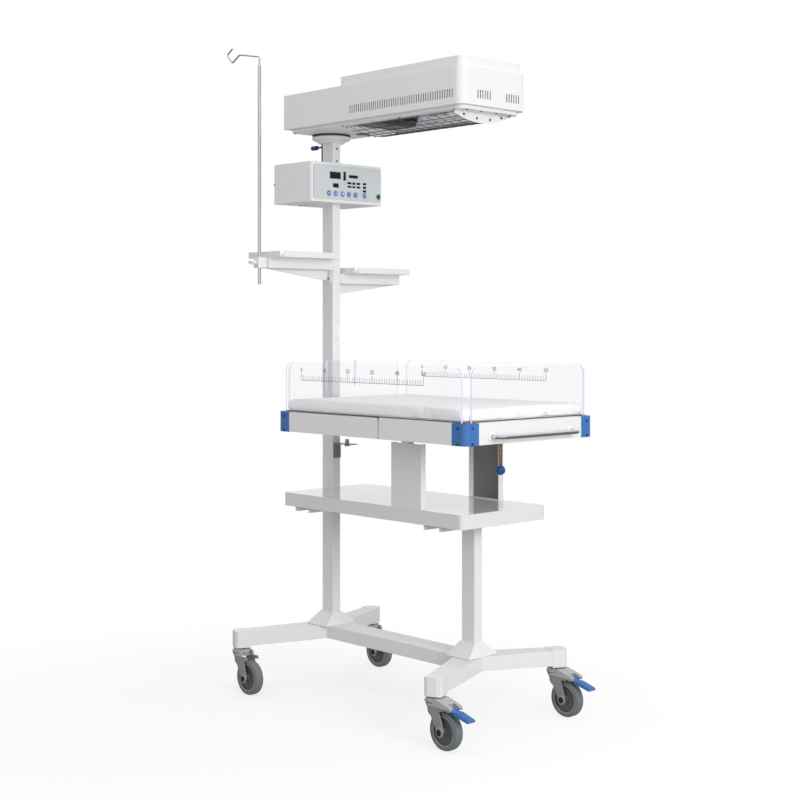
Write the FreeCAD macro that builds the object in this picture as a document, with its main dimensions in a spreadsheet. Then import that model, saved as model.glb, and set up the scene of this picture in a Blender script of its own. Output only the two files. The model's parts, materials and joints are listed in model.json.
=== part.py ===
import FreeCAD, Part
import math
import os

import Sketcher
from FreeCAD import Rotation, Vector

# Infant radiant warmer on a column stand, in millimetres.
# The origin is on the floor midway between the two columns. +X points from the rear (head end)
# column to the foot end, -Y to the drawer side, and +Z up.

os.makedirs("parts", exist_ok=True)
doc = FreeCAD.newDocument("radiant_warmer")
sheet = doc.addObject("Spreadsheet::Sheet", "Dims")

SIZES = {
    # Columns and base
    "column_offset": 297,
    "column_depth": 50,
    "column_width": 30,
    "column_wall": 2.5,
    "beam_width": 80,
    "beam_height": 38,
    "beam_bottom": 149,
    "beam_wall": 3,
    "front_stem_reach": 99,
    "front_stem_side": 238,
    "rear_stem_reach": 107,
    "rear_stem_side": 258,
    "leg_tip_width": 48,
    "leg_tip_height": 43,
    "leg_tip_bottom": 140,
    "leg_cap_seam": 22,
    "leg_cap_reach": 25,
    "leg_cap_width": 50,
    "leg_cap_height": 49,
    "leg_cap_bottom": 135,
    "leg_cap_wall": 4,
    "leg_cap_corner": 14,
    "skirt_length": 90,
    "skirt_width": 116,
    "skirt_height": 36,
    "skirt_lip": 3,
    "rear_split_height": 1045,
    "rear_column_top": 1642,
    "column_corner": 3,
    "sleeve_below": 80,
    "sleeve_above": 80,
    "sleeve_wall": 3,
    "sleeve_clearance": 0.3,
    "column_bolt_radius": 3,
    "column_bolt_cap_radius": 6.5,
    "column_bolt_cap_height": 4,
    "column_bolt_pitch": 50,
    "column_bolt_inset": 10,
    # Casters
    "wheel_radius": 50,
    "wheel_width": 26,
    "tyre_depth": 11,
    "tyre_edge": 5,
    "hub_bore_radius": 5.05,
    "hub_boss_radius": 11,
    "hub_length": 32,
    "axle_radius": 5,
    "axle_dome_radius": 9,
    "axle_dome_height": 3,
    "caster_trail": 40,
    "fork_inner_gap": 37,
    "fork_arm_thickness": 5,
    "fork_cap_height": 19,
    "fork_cap_gap": 4,
    "fork_cap_radius": 25,
    "stem_radius": 6,
    "stem_fit": 0.05,
    "stem_depth": 38,
    "brake_housing_reach": 75,
    "brake_housing_drop": 14,
    "brake_housing_lip": 10,
    "brake_housing_edge": 3,
    "brake_housing_rise": 4,
    "pedal_slot_start": 14,
    "pedal_length": 56,
    "pedal_width": 26,
    "pedal_root_width": 22,
    "pedal_drop": 25,
    "pedal_fall": 13,
    "pedal_thickness": 7,
    "pedal_flat": 12,
    "pedal_edge": 3,
    "pedal_pin_radius": 3,
    # Shelf and the two uprights that carry the bed
    "shelf_head_end": 322,
    "shelf_foot_end": 420,
    "shelf_half_width": 165,
    "shelf_height": 39,
    "shelf_top": 594,
    "shelf_wall": 2,
    "shelf_corner": 12,
    "shelf_notch_depth": 51,
    "bracket_height": 51,
    "bracket_half_width": 160,
    "bracket_length": 62,
    "bracket_wall": 3,
    "upright_head_edge": 146,
    "upright_foot_edge": 263,
    "upright_half_width": 162,
    "upright_sheet": 2.5,
    "upright_flange": 18,
    "upright_rise": 176,
    "pivot_x": 203,
    "pivot_rise": 184,
    "pivot_radius": 6,
    "pivot_fit": 0.05,
    "pivot_ear_radius": 11,
    "pivot_boss_length": 6,
    # Bed
    "bed_head_end": 241,
    "bed_foot_end": 517,
    "bed_half_width": 250,
    "bed_above_pivot": 6,
    "bed_height": 58,
    "corner_length": 50,
    "corner_width": 49,
    "corner_radius": 16,
    "rail_thickness": 22,
    "rail_lift": 1,
    "rail_web": 4,
    "guard_slot_inset": 7,
    "guard_slot_width": 6,
    "guard_slot_depth": 30,
    "corner_screw_radius": 3,
    "corner_screw_height": 0.8,
    "corner_screw_x": 27.5,
    "corner_screw_y": 25,
    "corner_screw_low": 5,
    "corner_screw_high": 13,
    "board_thickness": 3.5,
    "board_inset": 14,
    "board_head_inset": 17,
    "mattress_thickness": 28.5,
    "mattress_inset": 1,
    "mattress_corner": 20,
    "drawer_front_start": 190.5,
    "drawer_front_end": 185,
    "drawer_front_thickness": 5.5,
    "drawer_front_corner": 12,
    "drawer_gap": 6,
    "drawer_half_length": 184,
    "drawer_depth": 434.5,
    "drawer_tray_rise": 9,
    "drawer_tray_height": 17.5,
    "drawer_wall": 2,
    "drawer_gap_under": 0.3,
    "crossbar_sheet": 2.5,
    "crossbar_flange": 12,
    "crossbar_guard_gap": 1,
    "pivot_bar_length": 30,
    "lug_inner": 152.5,
    "lug_thickness": 6,
    "lug_radius": 14,
    "strap_half_width": 30,
    "strap_thickness": 4,
    "spine_centre_y": 20,
    "spine_width": 28,
    "spine_height": 42,
    "spine_sheet": 2.5,
    "handle_x": 552,
    "handle_half_width": 155,
    "handle_rise": 21,
    "handle_radius": 6,
    "handle_bend": 18,
    "handle_rosette_radius": 10,
    "handle_rosette_height": 4,
    # Tilt stop, lever and gas spring
    "stop_width": 28,
    "stop_sheet": 3,
    "stop_plate_height": 46,
    "stop_clearance": 36,
    "stop_bolt_height": 13,
    "stop_reach": 77,
    "stop_bolt_x": 224,
    "stop_bolt_radius": 6,
    "stop_nut_radius": 8,
    "stop_nut_height": 5,
    "lever_x": 423,
    "lever_pivot_rise": 28,
    "lever_pin_radius": 4,
    "lever_eye_radius": 9,
    "lever_eye_width": 12,
    "lever_radius": 5,
    "lever_ball_radius": 13,
    "lever_length": 109,
    "release_drop": 33,
    "release_radius": 2.5,
    "release_ring_radius": 11,
    "release_ring_bore": 6.4,
    "release_ring_thickness": 6,
    "release_end_x": 74,
    "guide_x": 330,
    "guide_radius": 7,
    "guide_thickness": 4,
    "far_guide_offset": 45,
    "spring_x": 60,
    "spring_body_radius": 11,
    "spring_body_height": 122,
    "spring_rod_radius": 4,
    "spring_rod_inside": 75,
    "spring_head_radius": 8,
    "spring_head_height": 12,
    "spring_foot_radius": 20,
    "spring_foot_height": 4,
    "spring_end_wall": 14,
    # Guards
    "guard_thickness": 5,
    "guard_rise": 144,
    "guard_corner": 28,
    "guard_seat_gap": 0.3,
    "guard_side_head_inset": 26,
    "guard_side_foot_inset": 23,
    "guard_foot_inset": 30,
    "guard_head_inset": 35,
    "guard_slit_width": 5,
    "guard_slit_depth": 79,
    "guard_slit_near": 74,
    "guard_slit_far": 38,
    # Instrument trays, their arms and the pole
    "tray_head_end": 380,
    "tray_length": 166,
    "tray_inner_side": 28,
    "tray_outer_side": 258,
    "tray_sheet": 2,
    "tray_lip": 17,
    "tray_notch": 9,
    "upper_tray_height": 1288,
    "lower_tray_height": 1247,
    "arm_height": 30.5,
    "arm_outer_side": 260,
    "arm_sheet": 2.5,
    "gusset_drop": 33,
    "gusset_thickness": 6,
    "gusset_flange_width": 36,
    "gusset_flange_thickness": 4,
    "gusset_flange_drop": 6,
    "clamp_length": 28,
    "clamp_half_width": 14,
    "pole_side": 275,
    "pole_radius": 5,
    "pole_fit": 0.05,
    "pole_below_clamp": 48,
    "pole_length": 637,
    "pole_bore_radius": 2.55,
    "hook_radius": 2.5,
    "hook_seat": 60,
    "hook_knee_rise": 26,
    "hook_crest_reach": 95,
    "hook_crest_rise": 44,
    "hook_valley_reach": 131,
    "hook_valley_rise": 24,
    "hook_bow_reach": 158,
    "hook_bow_rise": 50,
    "hook_tip_reach": 130,
    "hook_tip_rise": 67,
    "clamp_knob_radius": 9,
    "clamp_knob_length": 20,
    "clamp_screw_radius": 3,
    "thread_fit": 0.05,
    # Control box
    "box_rear": 405,
    "box_front": 221,
    "box_half_width": 140,
    "box_bottom": 1456,
    "box_height": 118,
    "box_wall": 2.5,
    "box_corner": 10,
    "panel_near_side": 134,
    "panel_far_side": 131,
    "panel_margin": 9,
    "panel_height": 102,
    "panel_thickness": 4,
    "window_depth": 1.5,
    "key_rise": 17,
    "key_radius": 8,
    "key_clearance": 0.4,
    "key_proud": 1.5,
    "key_travel": 1.2,
    "key_back_gap": 0.3,
    "key_bevel": 0.8,
    "key_stem_radius": 4,
    "key_stem_length": 8,
    "socket_side": 118.4,
    "socket_rise": 16.4,
    "socket_bore_radius": 4.5,
    "socket_ring_radius": 8.5,
    "socket_ring_height": 3,
    "socket_sleeve_radius": 6.5,
    "socket_depth": 16,
    "inlet_side": 60,
    "inlet_rise": 36,
    "inlet_width": 28,
    "inlet_tall": 21,
    "inlet_depth": 18,
    "inlet_pin_length": 12,
    "switch_side": 100,
    "switch_width": 15,
    "switch_tall": 21,
    "switch_depth": 12,
    "switch_pin_radius": 2,
    "switch_proud": 3,
    # Swivel collar
    "ring_radius": 59,
    "ring_height": 19,
    "ring_neck_height": 3,
    "ring_slope_height": 6,
    "ring_edge": 3,
    "ring_neck_radius": 40,
    "swivel_gap": 2,
    "spindle_radius": 11,
    "spindle_fit": 0.05,
    "flange_radius": 57,
    "lock_knob_drop": 7,
    "lock_knob_radius": 7,
    "lock_knob_outer": 389,
    "lock_knob_inner": 364,
    "lock_knob_bevel": 2.5,
    "lock_shaft_radius": 3,
    "cable_radius": 2.5,
    "cable_x": 328,
    "cable_side": 10,
    # Hood
    "hood_head_end": 367,
    "hood_foot_end": 384,
    "hood_half_width": 128,
    "hood_height": 102,
    "hood_wall": 2.5,
    "hood_corner": 25,
    "hood_lip": 7,
    "lid_head_end": 115,
    "lid_foot_end": 375,
    "lid_half_width": 119,
    "lid_height": 28,
    "lid_corner": 20,
    "vent_first_x": 67,
    "vent_last_x": 349,
    "vent_count": 46,
    "vent_width": 3.5,
    "vent_rise": 19,
    "vent_height": 23,
    "end_vent_count": 6,
    "end_vent_near": 68,
    "end_vent_far": 45,
    "end_vent_pitch": 9.5,
    "pan_head_end": 355,
    "pan_foot_end": 370,
    "pan_half_width": 116,
    "pan_drop": 10,
    "flange_thickness": 6,
    "pan_sheet": 2,
    "pan_rim": 5,
    "pan_corner": 22,
    "pan_hole_x": 215,
    "pan_hole_side": 55,
    "pan_hole_radius": 21,
    "opening_head_end": 100,
    "opening_foot_end": 318,
    "opening_half_width": 92,
    "reflector_height": 67,
    "reflector_top_half_width": 48,
    "reflector_sheet": 2,
    "heater_side": 40,
    "heater_rise": 31,
    "heater_radius": 6,
    "heater_cap_radius": 9,
    "heater_cap_length": 14,
    "lamp_x": 90,
    "lamp_length": 55,
    "lamp_side": 2,
    "lamp_width": 62,
    "lamp_rise": 17,
    "lamp_height": 26,
    "lamp_lens_radius": 7,
    "guard_wire_radius": 1.2,
    "guard_wire_drop": 5.5,
    "guard_wire_count": 8,
    "guard_wire_pitch": 28,
    "guard_cross_count": 9,
    "guard_cross_overhang": 4,
    "guard_end_reach": 12,
    "guard_hanger_side": 56,
}

KEY_SIDES = (-76.8, -50.6, -23.8, 1.6, 27.6, 64.0)


class Size:
    """A length with its value and the expression that binds it to the sheet."""

    def __init__(self, value, text):
        self.value = value
        self.text = text

    def __add__(self, other):
        other = as_size(other)
        return Size(self.value + other.value, f"({self.text} + {other.text})")

    def __sub__(self, other):
        other = as_size(other)
        return Size(self.value - other.value, f"({self.text} - {other.text})")

    def __mul__(self, other):
        other = as_size(other)
        return Size(self.value * other.value, f"({self.text} * {other.text})")

    def __truediv__(self, other):
        other = as_size(other)
        return Size(self.value / other.value, f"({self.text} / {other.text})")

    def __neg__(self):
        return Size(-self.value, f"(-1 * {self.text})")

    def __radd__(self, other):
        return as_size(other) + self

    def __rsub__(self, other):
        return as_size(other) - self

    def __rmul__(self, other):
        return as_size(other) * self


def as_size(number):
    return number if isinstance(number, Size) else Size(float(number), f"({number})")


def root_of_squares(a, b):
    a, b = as_size(a), as_size(b)
    return Size(math.hypot(a.value, b.value), f"sqrt({a.text} * {a.text} + {b.text} * {b.text})")


def ordered(a, b):
    a, b = as_size(a), as_size(b)
    return (a, b) if a.value <= b.value else (b, a)


class Dimensions:
    pass


d = Dimensions()
for row, (alias, number) in enumerate(SIZES.items(), start=1):
    sheet.set(f"A{row}", alias)
    sheet.set(f"B{row}", str(number))
    sheet.setAlias(f"B{row}", alias)
    setattr(d, alias, Size(float(number), f"Dims.{alias}"))
doc.recompute()


# Modelling helpers

def bind(item, prop, length):
    item.setExpression(prop, as_size(length).text)


def place(item, x=0, y=0, z=0, axis=None, angle=0):
    if axis is not None:
        item.Placement = FreeCAD.Placement(Vector(), Rotation(axis, as_size(angle).value))
        if isinstance(angle, Size):
            bind(item, "Placement.Rotation.Angle", angle)
    for name, length in (("x", x), ("y", y), ("z", z)):
        bind(item, f"Placement.Base.{name}", length)
    return item


def block(x, y, z, name="block"):
    item = doc.addObject("Part::Box", name)
    lows = []
    for prop, interval in (("Length", x), ("Width", y), ("Height", z)):
        low, high = ordered(*interval)
        bind(item, prop, high - low)
        lows.append(low)
    return place(item, *lows)


AXIS_TURN = {
    "x": (Vector(0, 1, 0), 90),
    "y": (Vector(1, 0, 0), -90),
    "z": (Vector(0, 0, 1), 0),
}


def rod(axis, start, end, centre, radius, name="rod"):
    """A cylinder along one axis; centre gives its other two coordinates."""
    start, end = ordered(start, end)
    item = doc.addObject("Part::Cylinder", name)
    bind(item, "Radius", radius)
    bind(item, "Height", end - start)
    first, second = centre
    spots = {"x": (start, first, second), "y": (first, start, second), "z": (first, second, start)}
    turn_axis, turn = AXIS_TURN[axis]
    return place(item, *spots[axis], axis=turn_axis, angle=turn)


def fuse(items, name="joined"):
    item = doc.addObject("Part::MultiFuse", name)
    item.Shapes = items
    item.Refine = True
    return item


def cut(base, tools, name="cut"):
    item = doc.addObject("Part::Cut", name)
    item.Base = base
    item.Tool = tools[0] if len(tools) == 1 else fuse(tools, name + "_tools")
    item.Refine = True
    return item


def group(items, name="set"):
    item = doc.addObject("Part::Compound", name)
    item.Links = items
    return item


nodes = {}


def node(name, item):
    item.Label = name
    nodes[name] = item
    return item


PLANES = {"xy": ("XY_Plane", 1), "xz": ("XZ_Plane", -1), "yz": ("YZ_Plane", 1)}


class Piece:
    """A body built from sketches on its own origin planes."""

    def __init__(self, name):
        self.name = name
        self.body = doc.addObject("PartDesign::Body", name)
        self.count = 0

    def origin(self, role):
        return next(f for f in self.body.Origin.OriginFeatures if f.Role == role)

    def sketch(self, plane, offset, loops=()):
        role, side = PLANES[plane]
        self.count += 1
        item = self.body.newObject("Sketcher::SketchObject", f"{self.name}_sketch_{self.count}")
        item.AttachmentSupport = [(self.origin(role), "")]
        item.MapMode = "FlatFace"
        bind(item, "AttachmentOffset.Base.z", as_size(offset) * side)
        for loop in loops:
            if loop[0] == "circle":
                draw_circle(item, loop[1], loop[2])
            else:
                draw_polygon(item, loop)
        return item

    def pad(self, plane, start, end, *loops):
        start, end = ordered(start, end)
        base = end if plane == "xz" else start
        item = self.body.newObject("PartDesign::Pad", f"{self.name}_pad_{self.count}")
        item.Profile = self.sketch(plane, base, loops)
        bind(item, "Length", end - start)
        item.Refine = True
        return self.tip(item)

    def pocket(self, plane, start, end, *loops):
        start, end = ordered(start, end)
        base = start if plane == "xz" else end
        item = self.body.newObject("PartDesign::Pocket", f"{self.name}_pocket_{self.count}")
        item.Profile = self.sketch(plane, base, loops)
        bind(item, "Length", end - start)
        item.Refine = True
        return self.tip(item)

    def turn(self, plane, offset, loop, axis):
        """Turn a loop about the sketch's own horizontal or vertical axis."""
        profile = self.sketch(plane, offset, [loop])
        item = self.body.newObject("PartDesign::Revolution", f"{self.name}_turn_{self.count}")
        item.Profile = profile
        item.ReferenceAxis = (profile, [axis])
        item.Angle = 360
        return self.tip(item)

    def loft(self, plane, start, first, end, second):
        profile = self.sketch(plane, start, [first])
        section = self.sketch(plane, end, [second])
        item = self.body.newObject("PartDesign::AdditiveLoft", f"{self.name}_loft_{self.count}")
        item.Profile = profile
        item.Sections = [section]
        item.Ruled = True
        return self.tip(item)

    def repeat(self, feature, axis, length, occurrences):
        """Repeat a feature along one axis of its own sketch."""
        item = self.body.newObject("PartDesign::LinearPattern", f"{self.name}_row_{self.count}")
        item.Originals = [feature]
        item.Direction = (feature.Profile[0], [axis])
        bind(item, "Length", length)
        bind(item, "Occurrences", occurrences)
        return self.tip(item)

    def tip(self, item):
        self.body.Tip = item
        return item


def rectangle(a0, a1, b0, b1, radius=None):
    (a0, a1), (b0, b1) = ordered(a0, a1), ordered(b0, b1)
    corners = [(a0, b0), (a1, b0), (a1, b1), (a0, b1)]
    return [corner + (radius,) for corner in corners] if radius is not None else corners


def circle(a, b, radius):
    return ("circle", (a, b), radius)


def hold_point(item, geometry, position, a, b):
    """Dimension a sketch point from the sketch's origin."""
    for kind, length in (("DistanceX", as_size(a)), ("DistanceY", as_size(b))):
        index = item.addConstraint(
            Sketcher.Constraint(kind, -1, 1, geometry, position, length.value))
        item.setExpression(f"Constraints[{index}]", length.text)


def draw_circle(item, centre, radius):
    a, b = (as_size(value) for value in centre)
    radius = as_size(radius)
    shape = Part.Circle(Vector(a.value, b.value, 0), Vector(0, 0, 1), radius.value)
    geometry = item.addGeometry(shape)
    hold_point(item, geometry, 3, a, b)
    index = item.addConstraint(Sketcher.Constraint("Radius", geometry, radius.value))
    item.setExpression(f"Constraints[{index}]", radius.text)


def draw_polygon(item, corners):
    """A closed outline; a corner's third value, where it has one, is its radius."""
    spots = [Vector(as_size(c[0]).value, as_size(c[1]).value, 0) for c in corners]
    count = len(corners)
    radii = [as_size(c[2]) if len(c) > 2 and c[2] is not None else None for c in corners]
    reach = []
    for i, spot in enumerate(spots):
        if radii[i] is None:
            reach.append((spot, spot))
            continue
        back = (spots[i - 1] - spot).normalize()
        ahead = (spots[(i + 1) % count] - spot).normalize()
        distance = radii[i].value / math.tan(back.getAngle(ahead) / 2)
        reach.append((spot + back * distance, spot + ahead * distance))
    lines = []
    for i in range(count):
        line = Part.LineSegment(reach[i][1], reach[(i + 1) % count][0])
        lines.append(item.addGeometry(line))
    for i, spot in enumerate(spots):
        before, after = lines[i - 1], lines[i]
        if radii[i] is None:
            item.addConstraint(Sketcher.Constraint("Coincident", before, 2, after, 1))
            hold_point(item, after, 1, corners[i][0], corners[i][1])
        else:
            draw_round(item, spot, reach[i], radii[i], before, after, corners[i])


def draw_round(item, spot, ends, radius, before, after, corner):
    """Round the corner between two lines and hold the sharp corner's place."""
    start, end = ends
    inward = ((start - spot).normalize() + (end - spot).normalize()).normalize()
    centre = spot + inward * math.hypot(radius.value, (start - spot).Length)
    middle = centre - inward * radius.value
    arc = item.addGeometry(Part.Arc(start, middle, end))
    first, second = (1, 2)
    if item.getPoint(arc, 1).distanceToPoint(start) > item.getPoint(arc, 2).distanceToPoint(start):
        first, second = (2, 1)
    item.addConstraint(Sketcher.Constraint("Tangent", before, 2, arc, first))
    item.addConstraint(Sketcher.Constraint("Tangent", arc, second, after, 1))
    index = item.addConstraint(Sketcher.Constraint("Radius", arc, radius.value))
    item.setExpression(f"Constraints[{index}]", radius.text)
    point = item.addGeometry(Part.Point(spot), True)
    item.addConstraint(Sketcher.Constraint("PointOnObject", point, 1, before))
    item.addConstraint(Sketcher.Constraint("PointOnObject", point, 1, after))
    hold_point(item, point, 1, corner[0], corner[1])


def draw_path(item, spots):
    """An open path of straight runs; an inner spot's third value is its bend radius."""
    places = [Vector(as_size(s[0]).value, as_size(s[1]).value, 0) for s in spots]
    reach = [(places[0], places[0])]
    for i in range(1, len(places) - 1):
        back = (places[i - 1] - places[i]).normalize()
        ahead = (places[i + 1] - places[i]).normalize()
        distance = as_size(spots[i][2]).value / math.tan(back.getAngle(ahead) / 2)
        reach.append((places[i] + back * distance, places[i] + ahead * distance))
    reach.append((places[-1], places[-1]))
    lines = []
    for i in range(len(places) - 1):
        lines.append(item.addGeometry(Part.LineSegment(reach[i][1], reach[i + 1][0])))
    hold_point(item, lines[0], 1, spots[0][0], spots[0][1])
    for i in range(1, len(places) - 1):
        draw_round(item, places[i], reach[i], as_size(spots[i][2]), lines[i - 1], lines[i], spots[i])
    hold_point(item, lines[-1], 2, spots[-1][0], spots[-1][1])


def bearing(x, y):
    """The direction of (x, y) seen from above, in degrees from +X."""
    x, y = as_size(x), as_size(y)
    return Size(math.degrees(math.atan2(y.value, x.value)), f"atan2({y.text}; {x.text})")


UP = Vector(0, 0, 1)
NEAR, FAR = -1, 1

# Levels and places worked out from the sizes

beam_top = d.beam_bottom + d.beam_height
shelf_under = d.shelf_top - d.shelf_wall
bracket_bottom = shelf_under - d.bracket_height
pivot_height = d.shelf_top + d.pivot_rise
bed_bottom = pivot_height + d.bed_above_pivot
bed_top = bed_bottom + d.bed_height
rail_bottom = bed_bottom + d.rail_lift
slot_bottom = bed_top - d.guard_slot_depth
board_top = bed_top + d.board_thickness
crossbar_bottom = bed_bottom + d.bed_above_pivot
column_face = d.column_offset - d.column_depth / 2
column_back = d.column_offset + d.column_depth / 2
column_side = d.column_width / 2
inner_near_rail = d.bed_half_width - d.rail_thickness
inner_near_guard = d.bed_half_width - d.guard_slot_inset - d.guard_slot_width - d.crossbar_guard_gap
arm_bottom = {NEAR: d.upper_tray_height - d.arm_height, FAR: d.lower_tray_height - d.arm_height}
box_top = d.box_bottom + d.box_height
panel_bottom = d.box_bottom + d.panel_margin
panel_face = d.panel_thickness - d.box_front
ring_top = d.rear_column_top + d.ring_height
pan_bottom = ring_top + d.swivel_gap + d.flange_thickness
hood_bottom = pan_bottom + d.pan_drop
hood_top = hood_bottom + d.hood_height
pan_floor = pan_bottom + d.pan_sheet
stem_bore = d.stem_radius + d.stem_fit


# Base

def make_leg(name, reach, side, inset=0):
    """One leg along its own X, from the column foot to the end cap's seam; inset gives its inside."""
    leg = Piece(name)
    seam = root_of_squares(reach, side) - d.leg_cap_seam - inset
    half_root = d.beam_width / 2 - inset
    half_tip = d.leg_tip_width / 2 - inset
    tip_top = d.leg_tip_bottom + d.leg_tip_height
    leg.loft("yz", 0, rectangle(-half_root, half_root, d.beam_bottom + inset, beam_top - inset),
             seam, rectangle(-half_tip, half_tip, d.leg_tip_bottom + inset, tip_top - inset))
    place(leg.body, *leg_root(reach, 0), axis=UP, angle=bearing(reach, side))
    return leg


def leg_root(reach, offset):
    return (d.column_offset * (1 if reach.value > 0 else -1), offset)


def make_tongue(name, reach, side):
    """The tongue inside the end cap, with the socket that takes the caster's stem."""
    tongue = Piece(name)
    length = root_of_squares(reach, side)
    half = d.leg_cap_width / 2 - d.leg_cap_wall
    bottom = d.leg_cap_bottom + d.leg_cap_wall
    top = d.leg_cap_bottom + d.leg_cap_height - d.leg_cap_wall
    end = length + d.leg_cap_reach - d.leg_cap_wall
    outline = rectangle(length - d.leg_cap_seam, end, -half, half)
    tongue.pad("xy", bottom, top, outline)
    tongue.pocket("xy", bottom, bottom + d.stem_depth - d.fork_cap_gap, circle(length, 0, stem_bore))
    place(tongue.body, *leg_root(reach, 0), axis=UP, angle=bearing(reach, side))
    return tongue.body


def make_leg_cap(name, reach, side):
    cap = Piece(name)
    length = root_of_squares(reach, side)
    seam = length - d.leg_cap_seam
    half = d.leg_cap_width / 2
    top = d.leg_cap_bottom + d.leg_cap_height
    end = length + d.leg_cap_reach
    cap.pad("xy", d.leg_cap_bottom, top,
            [(seam, -half), (end, -half, d.leg_cap_corner), (end, half, d.leg_cap_corner), (seam, half)])
    inner = half - d.leg_cap_wall
    cap.pocket("xy", d.leg_cap_bottom + d.leg_cap_wall, top - d.leg_cap_wall,
               rectangle(seam, end - d.leg_cap_wall, -inner, inner))
    cap.pocket("xy", d.leg_cap_bottom, d.leg_cap_bottom + d.leg_cap_wall,
               circle(length, 0, d.stem_radius + d.fork_cap_gap / 4))
    place(cap.body, *leg_root(reach, 0), axis=UP, angle=bearing(reach, side))
    return cap.body


LEGS = {
    "front_near": (d.front_stem_reach, -d.front_stem_side),
    "front_far": (d.front_stem_reach, d.front_stem_side),
    "rear_near": (-d.rear_stem_reach, -d.rear_stem_side),
    "rear_far": (-d.rear_stem_reach, d.rear_stem_side),
}


def make_base():
    half_beam = d.beam_width / 2
    outer = [block((-d.column_offset, d.column_offset), (-half_beam, half_beam),
                   (d.beam_bottom, beam_top), "beam")]
    inside = half_beam - d.beam_wall
    inner = [block((-d.column_offset, d.column_offset), (-inside, inside),
                   (d.beam_bottom + d.beam_wall, beam_top - d.beam_wall), "beam_inside")]
    tongues = []
    for name, (reach, side) in LEGS.items():
        outer.append(make_leg(f"{name}_leg", reach, side).body)
        inner.append(make_leg(f"{name}_leg_inside", reach, side, d.beam_wall).body)
        tongues.append(make_tongue(f"{name}_tongue", reach, side))
    shell = cut(fuse(outer, "base_outside"), [fuse(inner, "base_inside")], "base_shell")
    node("base_frame", fuse([shell] + tongues, "base_frame"))


def make_skirt(sign):
    """The pyramid cover round a column's foot."""
    skirt = Piece("skirt")
    centre = d.column_offset * sign
    top = beam_top + d.skirt_height
    half_depth = d.column_depth / 2 + d.skirt_lip
    half_width = column_side + d.skirt_lip
    skirt.loft("xy", beam_top,
               rectangle(centre - d.skirt_length / 2, centre + d.skirt_length / 2,
                         -d.skirt_width / 2, d.skirt_width / 2),
               top, rectangle(centre - half_depth, centre + half_depth, -half_width, half_width))
    skirt.pocket("xy", beam_top, top, column_outline(centre))
    return skirt.body


def make_base_covers():
    caps = [make_leg_cap(f"{name}_cap", *spot) for name, spot in LEGS.items()]
    node("base_covers", group(caps + [make_skirt(1), make_skirt(-1)], "base_covers"))


# Columns

def column_outline(centre, inset=0):
    half_depth = d.column_depth / 2 - inset
    half_width = column_side - inset
    return rectangle(centre - half_depth, centre + half_depth, -half_width, half_width,
                     d.column_corner - inset / 2)


def make_cross_bracket(name, start, length_sign):
    """The channel across a column's top that the shelf lies on."""
    bracket = Piece(name)
    end = start + d.bracket_length * length_sign
    wall = d.bracket_wall * length_sign
    outline = [(start, bracket_bottom), (start, shelf_under), (end, shelf_under), (end, bracket_bottom),
               (end - wall, bracket_bottom), (end - wall, shelf_under - d.bracket_wall),
               (start + wall, shelf_under - d.bracket_wall), (start + wall, bracket_bottom)]
    bracket.pad("xz", -d.bracket_half_width, d.bracket_half_width, outline)
    return bracket.body


def bolt_heights():
    split = d.rear_split_height
    low = (split - d.column_bolt_inset - d.column_bolt_pitch, split - d.column_bolt_inset)
    high = (split + d.column_bolt_inset, split + d.column_bolt_inset + d.column_bolt_pitch)
    return low, high


def drill_bolt_holes(piece, heights):
    hole = d.column_bolt_radius
    piece.pocket("yz", -column_back, -column_face, *[circle(0, height, hole) for height in heights])


def make_columns():
    low, high = bolt_heights()
    centre = -d.column_offset
    split = d.rear_split_height

    lower = Piece("rear_lower_tube")
    lower.pad("xy", beam_top, split, column_outline(centre), column_outline(centre, d.column_wall))
    drill_bolt_holes(lower, low)

    sleeve = Piece("rear_sleeve")
    slack = d.column_wall + d.sleeve_clearance
    inner = slack + d.sleeve_wall
    sleeve.pad("xy", split - d.sleeve_below, split,
               column_outline(centre, d.column_wall), column_outline(centre, inner))
    sleeve.pad("xy", split, split + d.sleeve_above,
               column_outline(centre, slack), column_outline(centre, inner))
    drill_bolt_holes(sleeve, low + high)
    bracket = make_cross_bracket("rear_cross_bracket", -column_face, 1)
    node("rear_column_lower", fuse([lower.body, sleeve.body, bracket], "rear_column_lower"))

    upper = Piece("rear_column_upper")
    upper.pad("xy", split, d.rear_column_top, column_outline(centre), column_outline(centre, d.column_wall))
    drill_bolt_holes(upper, high)
    shaft = d.lock_shaft_radius + d.thread_fit
    upper.pocket("yz", -column_back, -d.column_offset,
                 circle(0, d.rear_column_top - d.lock_knob_drop, shaft))
    node("rear_column_upper", upper.body)

    front = Piece("front_tube")
    front.pad("xy", beam_top, shelf_under - d.bracket_wall,
              column_outline(d.column_offset), column_outline(d.column_offset, d.column_wall))
    bracket = make_cross_bracket("front_cross_bracket", column_face, 1)
    node("front_column", fuse([front.body, bracket], "front_column"))


def make_column_bolts():
    low, high = bolt_heights()
    bolts = []
    for height in low + high:
        bolt = Piece("column_bolt")
        cap, out = d.column_bolt_cap_radius, d.column_bolt_cap_height
        crown, shoulder = cap * 0.6, out * 0.5
        bolt.turn("xz", 0, [
            (-column_back - out, 0), (-column_back - out, crown), (-column_back - shoulder, cap),
            (-column_back, cap), (-column_back, d.column_bolt_radius), (-column_face, d.column_bolt_radius),
            (-column_face, cap), (-column_face + shoulder, cap), (-column_face + out, crown),
            (-column_face + out, 0)], "H_Axis")
        bolts.append(place(bolt.body, z=height))
    node("column_bolts", group(bolts, "column_bolts"))


# Casters

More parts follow.
